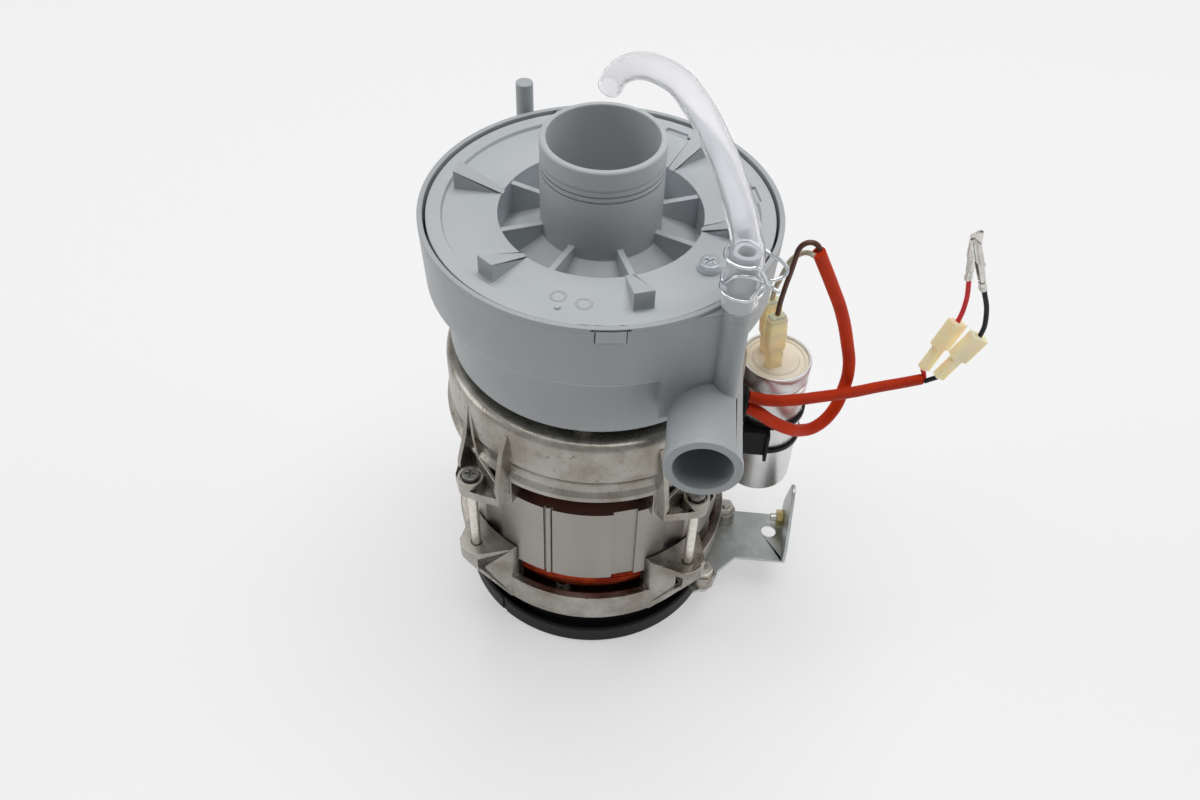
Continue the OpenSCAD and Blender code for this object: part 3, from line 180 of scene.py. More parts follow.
def castMetal(name, look):
    made = Finish(name, {"Metallic": look["metallic"]})
    cloud = made.noise(look["cloudScale"], 4, None, 0.6).step(0.3, 0.72)
    speck = made.noise(look["speckScale"], 2).step(0.62, 0.74) * look["speckShare"]
    skin = made.bump(made.noise(look["skinScale"], 6, None, 0.65), look["skinDepth"])
    dents = made.noise(look["skinScale"] / 6, 2)
    made.set({"Base Color": made.blend(speck, made.tones(cloud, look), paint(*look["speck"])),
              "Normal": made.bump(dents, look["skinDepth"] * 2.2, skin),
              "Roughness": cloud * look["roughRange"] + look["roughness"]})
    return made


def sheetMetal(name, look):
    made = Finish(name, {"Metallic": look["metallic"]})
    patch = made.node("TexVoronoi", {"feature": "SMOOTH_F1"},
                      {"Vector": made.point, "Scale": look["spangle"], "Smoothness": 0.4}, "Color")
    tone = made.node("SeparateColor", None, {"Color": patch}, "Red")
    rubbed = made.noise(look["rubScale"], 4, look["grain"])
    made.set({"Base Color": made.tones(tone, look), "Normal": made.bump(rubbed, look["depth"]),
              "Roughness": rubbed * look["roughRange"] + look["roughness"]})
    return made


def laminatedSteel(name, look):
    made = Finish(name, {"Metallic": look["metallic"]})
    sheet = look["sheet"] * mm
    groove = (made.axis("Z") * (2 * math.pi / sheet)).sine()
    layer = made.noise(1.0, 1, (14, 14, 1 / sheet * 0.9))
    cloud = made.noise(look["cloudScale"], 3, (1, 1, 0.25)).step(*patchEdges)
    steel = made.tones(layer.step(*patchEdges), look)
    made.set({"Base Color": made.blend(cloud * 0.4, steel, paint(*look["stain"])),
              "Normal": made.bump(groove, look["depth"]),
              "Roughness": layer * 0.2 + look["roughness"]})
    return made


def plainPlastic(name, look):  # keys with a capital are the shader's own inputs
    made = Finish(name, {"IOR": 1.48, **{key: look[key] for key in look if key[0].isupper()}})
    cloud = made.noise(look["cloudScale"], 3).step(*patchEdges)
    grain = made.noise(look["grainScale"], 4)
    made.set({"Base Color": made.tones(cloud, look), "Normal": made.bump(grain, look["depth"]),
              "Roughness": grain * grainShare + look["roughness"]})
    return made


def braidedSleeve(name, look):  # strands cross at a slant, picks count along the sleeve
    made = Finish(name, {"Specular IOR Level": 0.12})
    uv = made.node("TexCoord", output="UV")
    across = made.axis("Y", uv) * (2 * math.pi * look["strands"])
    along = made.axis("X", uv) * (2 * math.pi * look["picks"])
    weave = (across + along).sine() * (across - along).sine()
    cloud = made.noise(look["cloudScale"], 3).step(*patchEdges)
    thread = (weave * 0.5 + 0.5) * 0.3
    made.set({"Base Color": made.blend(thread, made.tones(cloud, look), paint(*look["thread"])),
              "Normal": made.bump(weave, look["depth"]),
              "Roughness": cloud * 0.15 + look["roughness"]})
    return made


def clearPlastic(name, look):
    made = Finish(name, {"Transmission Weight": look["clear"], "IOR": look["bending"]})
    haze = made.noise(look["hazeScale"], 2)
    made.set({"Base Color": made.tones(haze, look), "Roughness": haze * 0.05 + look["roughness"],
              "Normal": made.bump(made.noise(look["waveScale"], 1), look["depth"])})
    return made


print("making finishes")
# cover seam: darker, painted shade in its groove; volute seams: lighter, a painted highlight on
# their beads
coverPlastic = greyPlastic("coverPlastic", {
    "light": (192, 196, 199), "dark": (187, 192, 195), "roughness": 0.42, "flowScale": 30,
    "grainScale": 1500, "grainDepth": 0.015, "seams": (227.2,), "seamWidth": 0.5,
    "seamFrom": 22.2, "seamHeight": -0.3, "seamPaintedLight": (150, 156, 160)})
volutePlastic = greyPlastic("volutePlastic", {
    "light": (180, 184, 186), "dark": (175, 180, 182), "roughness": 0.42, "flowScale": 25,
    "grainScale": 1500, "grainDepth": 0.015, "seams": (178.4, 203.2), "seamWidth": 0.35,
    "seamFrom": 30, "seamHeight": 0.12, "seamPaintedLight": (196, 203, 206)})
shieldMetal = castMetal("shieldMetal", {
    "light": (180, 177, 170), "dark": (136, 131, 120), "speck": (96, 89, 70), "speckShare": 0.55,
    "cloudScale": 55, "speckScale": 420, "skinScale": 900, "skinDepth": 0.05,
    "metallic": 0.95, "roughness": 0.22, "roughRange": 0.18})
stackMetal = laminatedSteel("stackMetal", {
    "light": (170, 166, 160), "dark": (162, 158, 152), "stain": (136, 131, 121), "sheet": 0.35,
    "cloudScale": 40, "depth": 0.006, "metallic": 0.95, "roughness": 0.3})

zincSheet = sheetMetal("zincSheet", {
    "light": (196, 201, 199), "dark": (182, 188, 187), "spangle": 260, "rubScale": 220,
    "grain": (1, 1, 1), "depth": 0.02, "metallic": 0.85, "roughness": 0.28, "roughRange": 0.2})
canMetal = sheetMetal("canMetal", {
    "light": (226, 226, 225), "dark": (212, 212, 212), "spangle": 60, "rubScale": 60,
    "grain": (1, 1, 30), "depth": 0.006, "metallic": 1.0, "roughness": 0.3, "roughRange": 0.16})
screwMetal = sheetMetal("screwMetal", {
    "light": (214, 214, 210), "dark": (186, 187, 184), "spangle": 900, "rubScale": 700,
    "grain": (1, 1, 1), "depth": 0.01, "metallic": 1.0, "roughness": 0.2, "roughRange": 0.15})
tinMetal = sheetMetal("tinMetal", {
    "light": (226, 224, 218), "dark": (204, 201, 194), "spangle": 200, "rubScale": 260,
    "grain": (1, 1, 0.3), "depth": 0.006, "metallic": 0.95, "roughness": 0.22,
    "roughRange": 0.14})
boltMetal = sheetMetal("boltMetal", {
    "light": (236, 234, 224), "dark": (216, 213, 200), "spangle": 500, "rubScale": 500,
    "grain": (1, 1, 0.1), "depth": 0.01, "metallic": 0.85, "roughness": 0.25,
    "roughRange": 0.15})
# a darker copy of the bolt metal for the bolt heads: painted shade
paintedShadeBoltHead = sheetMetal("paintedShadeBoltHead", {
    "light": (150, 149, 145), "dark": (112, 111, 107), "spangle": 700, "rubScale": 500,
    "grain": (1, 1, 1), "depth": 0.02, "metallic": 0.9, "roughness": 0.3, "roughRange": 0.2})
yellowZinc = sheetMetal("yellowZinc", {
    "light": (206, 190, 130), "dark": (172, 156, 104), "spangle": 700, "rubScale": 500,
    "grain": (1, 1, 1), "depth": 0.01, "metallic": 1.0, "roughness": 0.25, "roughRange": 0.15})
bearingSteel = sheetMetal("bearingSteel", {
    "light": (205, 206, 208), "dark": (190, 191, 194), "spangle": 300, "rubScale": 200,
    "grain": (1, 1, 20), "depth": 0.004, "metallic": 1.0, "roughness": 0.14, "roughRange": 0.1})
springSteel = sheetMetal("springSteel", {
    "light": (222, 226, 228), "dark": (204, 209, 212), "spangle": 40, "rubScale": 120,
    "grain": (1, 1, 1), "depth": 0.002, "metallic": 1.0, "roughness": 0.1, "roughRange": 0.08})

blackPlastic = plainPlastic("blackPlastic", {
    "light": (24, 24, 25), "dark": (17, 17, 18), "cloudScale": 60, "grainScale": 1600,
    "roughness": 0.42, "depth": 0.02, "Specular IOR Level": 0.2})
blackRubber = plainPlastic("blackRubber", {
    "light": (26, 26, 26), "dark": (18, 18, 18), "cloudScale": 90, "grainScale": 1100,
    "roughness": 0.6, "depth": 0.03, "Specular IOR Level": 0.25})
scatterWithPaintedGlow = {  # thin pale plastic that lets light through, with a painted glow from its emission
    "Subsurface Weight": 1.0, "Subsurface Scale": 0.004, "Subsurface Radius": (1.0, 0.6, 0.3),
    "Emission Color": (1, 0.66, 0.34, 1), "Emission Strength": 0.12}
# the connector housings and the boots both take this painted glow
creamPlastic = plainPlastic("creamPlastic", {
    **scatterWithPaintedGlow, "light": (255, 243, 212), "dark": (252, 236, 196), "cloudScale": 110,
    "grainScale": 1400, "roughness": 0.36, "depth": 0.01})
bootPlastic = plainPlastic("bootPlastic", {
    **scatterWithPaintedGlow, "light": (255, 240, 196), "dark": (250, 230, 176), "cloudScale": 90,
    "grainScale": 1200, "roughness": 0.34, "depth": 0.01})
lidPlastic = plainPlastic("lidPlastic", {
    "light": (252, 245, 228), "dark": (244, 235, 216), "cloudScale": 150, "grainScale": 1200,
    "roughness": 0.45, "depth": 0.02})
impellerPlastic = plainPlastic("impellerPlastic", {
    "light": (216, 215, 208), "dark": (204, 203, 196), "cloudScale": 80, "grainScale": 1200,
    "roughness": 0.4, "depth": 0.02})
ceramic = plainPlastic("ceramic", {
    "light": (235, 233, 226), "dark": (226, 224, 216), "cloudScale": 200, "grainScale": 2500,
    "roughness": 0.2, "depth": 0.004})
carbon = plainPlastic("carbon", {
    "light": (52, 52, 54), "dark": (38, 38, 40), "cloudScale": 200, "grainScale": 2500,
    "roughness": 0.3, "depth": 0.004})
enamelCopper = plainPlastic("enamelCopper", {
    "light": (150, 58, 24), "dark": (98, 32, 12), "cloudScale": 160, "grainScale": 900,
    "roughness": 0.24, "depth": 0.02, "Metallic": 0.35, "Specular IOR Level": 0.35,
    "Coat Weight": 0.3})
# a lighter copy of the enamelled copper, painted light for the lower winding head
paintedLitCopper = plainPlastic("paintedLitCopper", {
    "light": (250, 96, 30), "dark": (206, 58, 14), "cloudScale": 160, "grainScale": 900,
    "roughness": 0.3, "depth": 0.02, "Specular IOR Level": 0.3})
lacingCord = plainPlastic("lacingCord", {
    "light": (196, 150, 92), "dark": (150, 100, 52), "cloudScale": 300, "grainScale": 2500,
    "roughness": 0.5, "depth": 0.05})

wireLook = {"cloudScale": 150, "grainScale": 1500, "roughness": 0.34, "depth": 0.01}
brownWire = plainPlastic("brownWire", {
    **wireLook, "light": (104, 60, 38), "dark": (84, 46, 28)})
whiteWire = plainPlastic("whiteWire", {
    **wireLook, "light": (226, 214, 192), "dark": (208, 194, 168), "roughness": 0.36})
redWire = plainPlastic("redWire", {
    **wireLook, "light": (246, 30, 36), "dark": (230, 22, 28)})
blackWire = plainPlastic("blackWire", {
    **wireLook, "light": (26, 30, 36), "dark": (17, 20, 25), "Specular IOR Level": 0.3})
sleeveLook = {
    "light": (222, 62, 18), "dark": (200, 46, 12), "thread": (226, 80, 30), "cloudScale": 70,
    "roughness": 0.45, "depth": 0.04, "strands": 12, "picks": 70}
sleeveLong = braidedSleeve("sleeveLong", sleeveLook)
sleeveShort = braidedSleeve("sleeveShort", {
    **sleeveLook, "light": (194, 52, 16), "dark": (172, 38, 10), "thread": (198, 66, 26),
    "picks": 40})
hoseVinyl = clearPlastic("clearHose", {
    "light": (253, 253, 254), "dark": (248, 248, 251), "clear": 0.88, "bending": 1.16,
    "hazeScale": 60, "waveScale": 90, "roughness": 0.17, "depth": 0.002})


# helpers that put a piece in the scene
def place(name, data, finish, body, nodes=()):
    piece = bpy.data.objects.new(name, data)
    bpy.context.scene.collection.objects.link(piece)
    piece.data.materials.append(finish.material)
    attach(piece, body)
    if nodes:
        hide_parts(*nodes)
    return piece


def toMesh(bm, name, sharp=32):  # smooth faces, but edges over that many degrees stay sharp
    for face in bm.faces:
        face.smooth = True
    for edge in bm.edges:
        edge.smooth = not (edge.is_manifold and edge.calc_face_angle(0) > math.radians(sharp))
    mesh = bpy.data.meshes.new(name)
    bm.to_mesh(mesh)
    bm.free()
    return mesh


def roundEdges(piece, width, segments=2, angle=32):
    bevel = piece.modifiers.new("roundEdges", "BEVEL")
    bevel.width = width * mm
    bevel.segments = segments
    bevel.limit_method = "ANGLE"
    bevel.angle_limit = math.radians(angle)
    bevel.harden_normals = True
    bevel.use_clamp_overlap = False


def dress(node, finish, edge):
    # a copy of the solid with its triangles joined, its edges rounded and its curves smooth
    solid = frame["nodes"][node]
    weld, flat = 0.002 * mm, math.radians(0.4)
    bm = bmesh.new()
    bm.from_mesh(solid.data)
    bmesh.ops.remove_doubles(bm, verts=bm.verts, dist=weld)
    bmesh.ops.dissolve_limit(bm, angle_limit=flat, verts=bm.verts, edges=bm.edges)
    first, *others = node.split("_")
    name = first + "".join(word.capitalize() for word in others)
    piece = place(name, toMesh(bm, name), finish, solid["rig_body"], (node,))
    if edge:
        roundEdges(piece, edge)
    return piece


def curvePiece(name, lines, diameter, finish, nodes=(), radii=None, caps=True, closed=False,
               resolution=6, sides=4):
    curve = bpy.data.curves.new(name, "CURVE")
    curve.dimensions = "3D"
    curve.resolution_u = resolution
    curve.render_resolution_u = resolution
    curve.bevel_depth = 1.0
    curve.bevel_resolution = sides
    curve.use_fill_caps = caps
    for points in lines:
        line = curve.splines.new("BEZIER")
        line.bezier_points.add(len(points) - 1)
        line.use_cyclic_u = closed
        for i, (knot, point) in enumerate(zip(line.bezier_points, points)):
            knot.co = Vector(point) * mm
            knot.handle_left_type = knot.handle_right_type = "AUTO"
            knot.radius = diameter / 2 * mm * (radii[i] if radii else 1)
    return place(name, curve, finish, "stator", nodes)


def finishShape(bm, name, finish, node, sharp=32):  # a shape that was built in millimetres
    bmesh.ops.scale(bm, vec=(mm, mm, mm), verts=bm.verts)
    bmesh.ops.recalc_face_normals(bm, faces=bm.faces)
    return place(name, toMesh(bm, name, sharp), finish, "stator", (node,))


# helpers that build a shape, in millimetres
def newVerts(bm, earlier):
    return [vert for vert in bm.verts if vert not in earlier]


def move(bm, earlier, matrix):  # all that was made since
    bmesh.ops.transform(bm, matrix=matrix, verts=newVerts(bm, earlier))


def rotation(degrees, axis="Z"):
    return Matrix.Rotation(math.radians(degrees), 4, axis)


def shift(x, y, z=0):
    return Matrix.Translation((x, y, z))


def lengthen(bm, face, rise, scale):  # gives back the new top face
    extruded = bmesh.ops.extrude_face_region(bm, geom=[face])["geom"]
    tips = [part for part in extruded if isinstance(part, bmesh.types.BMVert)]
    bmesh.ops.translate(bm, vec=(0, 0, rise), verts=tips)
    bmesh.ops.scale(bm, vec=scale, verts=tips)
    return next(part for part in extruded if isinstance(part, bmesh.types.BMFace))


def prism(bm, outline, low, high, scale=1.0):
    face = bm.faces.new([bm.verts.new((x, y, low)) for x, y in outline])
    return lengthen(bm, face, high - low, (scale, scale, 1))


def slab(bm, profile, y, width):  # a plate that stands on a radius
    start = set(bm.verts)
    prism(bm, profile, -width / 2, width / 2)
    move(bm, start, shift(0, y) @ rotation(90, "X"))


def turned(bm, profile, steps=144):
    verts = [bm.verts.new((r, 0, z)) for r, z in profile]
    edges = [bm.edges.new(pair) for pair in zip(verts, verts[1:] + verts[:1])]
    bmesh.ops.spin(bm, geom=verts + edges, axis=(0, 0, 1), angle=2 * math.pi, steps=steps,
                   use_merge=True)


def box(across, low, high):
    return [(across[0], low), (across[1], low), (across[1], high), (across[0], high)]


def disc(radius, sides=40):
    return [(radius * math.cos(2 * math.pi * i / sides), radius * math.sin(2 * math.pi * i / sides))
            for i in range(sides)]


def sector(inner, outer, first, last, steps=10):
    angles = [math.radians(first + (last - first) * i / steps) for i in range(steps + 1)]
    return ([(outer * math.cos(angle), outer * math.sin(angle)) for angle in angles]
            + [(inner * math.cos(angle), inner * math.sin(angle)) for angle in reversed(angles)])


print("camera, light and floor")
cameraView = {
    "place": (23.504, -327.904, 449.766), "right": (0.995412, 0.092137, 0.025801),
    "up": (-0.084678, 0.722749, 0.685903), "lens": 33.097, "sensor": 36}
right, up = Vector(cameraView["right"]), Vector(cameraView["up"])
cameraTurn = Matrix((right, up, right.cross(up))).transposed().to_4x4()
camera = bpy.data.objects.new("camera", bpy.data.cameras.new("camera"))
bpy.context.scene.collection.objects.link(camera)
camera.matrix_world = Matrix.Translation(Vector(cameraView["place"]) * mm) @ cameraTurn
camera.data.lens = cameraView["lens"]
camera.data.sensor_width = cameraView["sensor"]
camera.data.clip_start = 0.01
bpy.context.scene.camera = camera
bpy.context.scene.view_settings.view_transform = "Standard"

lampAim = (0, 0, 0.12)
lamps = {
    "topLamp": {"place": (0.1, 0.35, 2.4), "width": 2.2, "power": 50.0},
    "leftLamp": {"place": (-1.8, 0.0, 0.9), "width": 1.0, "power": 6.5},
    "rightLamp": {"place": (1.8, 0.3, 0.9), "width": 1.0, "power": 5.5},
}
for name, lamp in lamps.items():
    light = bpy.data.lights.new(name, "AREA")
    light.size = lamp["width"]
    light.energy = lamp["power"]
    holder = bpy.data.objects.new(name, light)
    bpy.context.scene.collection.objects.link(holder)
    beam = (Vector(lampAim) - Vector(lamp["place"])).to_track_quat("-Z", "Y")
    holder.matrix_world = Matrix.Translation(lamp["place"]) @ beam.to_matrix().to_4x4()

# the pale surround is seen as bright, is mirrored less bright, and lights the object little
surround = {
    "lit": (0.03, 0.03, 0.031, 1), "mirrored": (0.5, 0.5, 0.51, 1), "shown": (0.9, 0.9, 0.91, 1)}
rays = {"Is Glossy Ray": "mirrored", "Is Transmission Ray": "shown", "Is Camera Ray": "shown"}
world = bpy.data.worlds.new("studio")
bpy.context.scene.world = world
world.use_nodes = True
nodes, links = world.node_tree.nodes, world.node_tree.links
lightPath = nodes.new("ShaderNodeLightPath")
tint = None
for ray, level in rays.items():
    mix = nodes.new("ShaderNodeMix")
    mix.data_type = "RGBA"
    mix.inputs[6].default_value = surround["lit"]
    mix.inputs[7].default_value = surround[level]
    if tint:
        links.new(tint, mix.inputs[6])
    links.new(lightPath.outputs[ray], mix.inputs[0])
    tint = mix.outputs[2]
links.new(tint, nodes["Background"].inputs["Color"])

floorLook = {
    "Base Color": (0.5, 0.5, 0.505, 1), "Roughness": 0.7, "Emission Color": (1, 1, 1, 1),
    "Emission Strength": 0.47, "Specular IOR Level": 0.2}
floorMesh = bpy.data.meshes.new("floor")
bm = bmesh.new()
bmesh.ops.create_grid(bm, x_segments=1, y_segments=1, size=4)
bmesh.ops.translate(bm, vec=(0, 0, -0.2 * mm), verts=bm.verts)
bm.to_mesh(floorMesh)
bm.free()
floor = bpy.data.objects.new("floor", floorMesh)
bpy.context.scene.collection.objects.link(floor)
floor.data.materials.append(Finish("floorFinish", floorLook).material)

# cords: each route repeats the solid's own points, in millimetres
print("cords")
pipe = {"x": 50.2, "y": -52.3, "radius": 4.814}
hose = {"diameter": 10.2, "wall": 1.3, "gripWall": 1.4, "flare": 1.14}
hoseRoute = [
    (pipe["x"], pipe["y"], 208.6), (pipe["x"], pipe["y"], 219.8), (pipe["x"], pipe["y"], 231.3),
    (49.5, -51, 234.5), (48.5, -48.5, 237.5), (47, -43.5, 239.5), (45.2, -37, 241),
    (43.5, -30, 242), (41.5, -22.5, 243), (38.5, -13.5, 244), (35, -3, 245), (30.5, 8, 245.5),
    (25, 19.5, 245.5), (18, 31, 243), (11.5, 40, 239.5), (5.5, 47, 234.5), (1, 52, 228.5),
    (-2, 56, 221)]
grip = (pipe["radius"] + hose["gripWall"]) / (hose["diameter"] / 2)  # stretched over the pipe
hoseRadii = [grip, grip, hose["flare"]] + [1] * (len(hoseRoute) - 3)
ventHose = curvePiece("ventHose", [hoseRoute], hose["diameter"], hoseVinyl, ("vent_hose",),
                      radii=hoseRadii, caps=False, resolution=10, sides=14)
hoseWall = ventHose.modifiers.new("wall", "SOLIDIFY")
hoseWall.thickness = hose["wall"] * mm
hoseWall.offset = -1

capacitorSleeve = curvePiece("capacitorSleeve", [[
    (64, -8, 113.9), (68.5, -8, 111.5), (76, -6, 104), (84, -3, 97), (90.5, 2, 91),
    (98.5, 8, 88.5), (105, 14, 92.5), (108, 18, 102), (108.5, 20, 113.5), (105, 21, 128.5),
    (99.5, 20, 145.5), (93, 18, 160.5), (84, 14, 180.5)]],
    5.5, sleeveLong, ("capacitor_sleeve",), sides=6)
supplySleeve = curvePiece("supplySleeve", [[
    (64, -8, 119.9), (72, -7, 117.5), (82.5, -3, 114.5), (96, 4, 111), (110, 12, 107),
    (124, 21, 103), (136, 28, 100), (144.5, 33, 98)]],
    5.0, sleeveShort, ("supply_sleeve",), sides=6)

leadDiameter = 2.2
brownLead = curvePiece("brownLead", [[
    (84.6, 15, 180.8), (83.2, 15.1, 182.9), (80.6, 15.2, 183.9), (78, 15.1, 182.9),
    (76.4, 15, 180.4), (75.8, 15, 176), (75.1, 15, 169.5), (74, 15, 161), (73.2, 15, 152),
    (73, 15, 146)]],
    leadDiameter, brownWire, ("capacitor_lead_brown",))
whiteLead = curvePiece("whiteLead", [[
    (82.8, 12.8, 179.2), (80.7, 15.3, 178.6), (78.4, 17.9, 176.2), (75.4, 19.5, 172),
    (73.7, 21.5, 165), (72.5, 23, 158), (71.3, 24, 151.5), (71, 24.5, 145)]],
    leadDiameter, whiteWire, ("capacitor_lead_white",))
redLead = curvePiece("redLead", [[
    (146, 33.8, 98.6), (145.3, 34.2, 101), (144.5, 34.5, 103.5), (149.5, 37.2, 115.7),
    (154.2, 40, 128), (155, 41, 139), (152.9, 41, 152)]],
    leadDiameter, redWire, ("supply_lead_red",))
blackLead = curvePiece("blackLead", [[
    (146, 31.4, 98.6), (148.3, 30.7, 101), (150.5, 30, 103.5), (156.8, 31.5, 115.3),
    (163, 33, 127), (162.2, 33, 140), (157.4, 33, 153.5)]],
    leadDiameter, blackWire, ("supply_lead_black",))

# hose clip: one spring wire that goes twice round the hose and ends in two ears
print("hose clip")
clip = {"wire": 1.3, "ear": 13.5, "top": 229.5, "mid": 219.6, "low": 216.0, "steps": 18}
clipRadius = pipe["radius"] + hose["gripWall"] + clip["wire"] / 2


def onClip(angle, z, out=0.0):
    turn = math.radians(angle)
    return (pipe["x"] + (clipRadius + out) * math.cos(turn),
            pipe["y"] + (clipRadius + out) * math.sin(turn), z)


def clipArc(first, last, z):
    return [onClip(first + (last - first) * i / clip["steps"], z)
            for i in range(clip["steps"] + 1)]


top, mid = clip["top"], clip["mid"]
earX, earY = pipe["x"] + clip["ear"], pipe["y"]
clipRoute = [
    (earX - 2, earY - 6, mid + 0.5), onClip(-32, top - 7.5, 2.2), onClip(-42, top - 4, 1.4),
    onClip(-52, top - 1.2, 0.5), *clipArc(-65, -340, top),
    (earX - 5, earY + 1.5, top - 1), (earX - 1, earY + 1, top - 3.5), (earX, earY, top - 6),
    (earX - 2, earY - 1, mid + 2.2), onClip(-25, mid + 2.4, 0.3), onClip(-55, mid + 5),
    onClip(-80, mid + 6.6), onClip(-110, mid + 6.2), onClip(-135, mid + 3),
    *clipArc(-155, -405, mid), *clipArc(-430, -760, clip["low"])]
hoseClamp = curvePiece("hoseClamp", [clipRoute], clip["wire"], springSteel, ("hose_clamp",),
                       resolution=4)

# windings: enamelled turns and lacing cord round the bundle of each head
print("windings")
# the lower head takes the lighter copper copy: painted light, where the upper head is seen in shade
heads = {
    "upper": {"low": 94.7, "above": True, "tall": 13.5, "bulge": 0.5, "finish": enamelCopper},
    "lower": {"low": 50.9, "above": False, "tall": 17.0, "bulge": 3.4, "finish": paintedLitCopper}}
winding = {
    "radius": 50.2, "wire": 1.0, "turns": 12, "steps": 60, "gap": 0.6,
    "wobble": (0.25, 5.3, 0.37), "sway": (0.18, 3.1, 0.21)}  # size, waves in a turn, drift
lacing = {
    "inner": 36.0, "outer": 51.0, "height": 13.5, "rise": 0.4, "count": 22, "cord": 0.9,
    "lean": 0.05}


def windHead(side):
    head = heads[side]
    gap, steps = winding["gap"], winding["steps"]
    start = head["low"] + (gap if head["above"] else gap - head["tall"])
    pitch = (head["tall"] - 2 * gap) / winding["turns"]
    count = winding["turns"] * steps
    points = []
    for i in range(count + 1):
        angle = 2 * math.pi * i / steps
        wobble, sway = (size * math.sin(angle * waves + i * drift)
                        for size, waves, drift in (winding["wobble"], winding["sway"]))
        radius = winding["radius"] + math.sin(math.pi * i / count) * head["bulge"] + wobble
        points.append((radius * math.cos(angle), radius * math.sin(angle),
                       start + pitch * i / steps + sway))
    wire = winding["wire"] * head["tall"] / lacing["height"]
    curvePiece(side + "WindingTurns", [points], wire, head["finish"],
               (side + "_winding_turns",), resolution=2, sides=2)


def laceHead(side):
    head = heads[side]
    inner, outer = lacing["inner"], lacing["outer"]
    height, lean = lacing["height"], lacing["lean"]
    base = head["low"] + (lacing["rise"] if head["above"] else -height)
    loop = [  # radius, height and lean of each knot, up the outside and down the inside
        (outer + 0.6, 1.5, 0), (outer + 1.0, height * 0.5, lean),
        (outer + 0.5, height - 1, 2 * lean), (outer - 3, height + 0.2, 2 * lean),
        (inner + 3, height + 0.2, lean), (inner - 0.3, height - 2, lean), (inner - 0.3, 2, 0),
        (inner + 4, 0.2, 0), (outer - 2, 0.3, 0)]
    rings = []
    for i in range(lacing["count"]):
        angle = 2 * math.pi * (i + 0.3) / lacing["count"]
        rings.append([(radius * math.cos(angle + turn), radius * math.sin(angle + turn), base + z)
                      for radius, z, turn in loop])
    curvePiece(side + "Lacing", rings, lacing["cord"], lacingCord, closed=True, resolution=3,
               sides=2, caps=False)


for side, head in heads.items():
    windHead(side)
    laceHead(side)
    dress(side + "_winding_core", head["finish"], 0)

# solids that keep their shape: the finish and the rounding of the edges in millimetres
print("dressed solids")
dressed = {
    "volute_body": (volutePlastic, 0.35), "suction_cover": (coverPlastic, 0.3),
    "cover_lock_screw": (springSteel, 0.2), "rear_end_shield": (shieldMetal, 0.4),
    "tie_bolts": (boltMetal, 0.2), "tie_nuts": (boltMetal, 0.2),
    "stator_stack": (stackMetal, 0.12), "fan_cowl": (blackPlastic, 0.3),
    "mounting_bracket": (zincSheet, 0.3), "bracket_screws": (screwMetal, 0.15),
    "bracket_nuts": (boltMetal, 0.2), "earth_stud": (screwMetal, 0.15),
    "earth_nut": (yellowZinc, 0.2), "capacitor_can": (canMetal, 0.15),
    "capacitor_lid": (lidPlastic, 0.15), "capacitor_blades": (screwMetal, 0.08),
    "lead_grommet": (blackRubber, 0.3), "cover_seal": (blackRubber, 0),
    "impeller": (impellerPlastic, 0.2), "cooling_fan": (blackPlastic, 0.2),
    "rotor_end_rings": (shieldMetal, 0.2), "cowl_screws": (screwMetal, 0.15),
    "volute_screws": (screwMetal, 0.15), "impeller_nut": (yellowZinc, 0.2)}
pieces = {node: dress(node, finish, edge) for node, (finish, edge) in dressed.items()}

# the bolts' heads get a darker copy of the bolt metal, painted shade for where they sit sunk in the
# bosses, and they stand on the bosses of the casting below
boltHeads = {"above": 100, "lift": 2.5}
bolts = pieces["tie_bolts"].data
bolts.materials.append(paintedShadeBoltHead.material)
for face in bolts.polygons:
    if face.center.z > boltHeads["above"] * mm:
        face.material_index = 1
for vert in bolts.vertices:
    if vert.co.z > boltHeads["above"] * mm:
        vert.co.z += boltHeads["lift"] * mm

plain = {  # these stay as they are, with a finish
    "slot_conductors": enamelCopper, "rotor_shaft": bearingSteel, "rotor_core": stackMetal,
    "water_slinger": blackRubber, "seal_seat": ceramic, "seal_ring": carbon,
    "seal_bellows": blackRubber, "upper_bearing_outer": bearingSteel,
    "upper_bearing_inner": bearingSteel, "lower_bearing_outer": bearingSteel,
    "lower_bearing_inner": bearingSteel}
for node, finish in plain.items():
    for holder in frame["nodes"][node].material_slots:
        holder.material = finish.material

# drive end casting: a turned body with posts, and lugs of either hand in turn
print("drive end casting")
casting = {
    "stack": 58.0, "body": 61.5, "inside": 58.3, "hub": 19, "bore": 11, "low": 109.3,
    "top": 140.0, "plate": 132.0, "round": 4.0, "bolts": 68.0, "reach": 72.6, "lug": 96.5,
    "window": 94.7, "seat": 102.9, "boss": 104.5, "bossRadius": 5.4, "bossHole": 4.0,
    "floor": 5, "rim": 1.6, "sunk": 2.4, "pad": (-10.9, 14.8),
    "angles": (47.9, 132.1, 227.9, 312.1),
    "posts": 48.5, "postTop": 143.5, "postRadius": 5.4}
blades = {  # place across the lug and thickness of each plate, and how it leans in degrees
    "tall": (13.8, 2.4), "short": (-8.6, 2.2), "rib": (-4.4, 1.5, 14.7), "wall": (-2.6, 1.6, 80)}


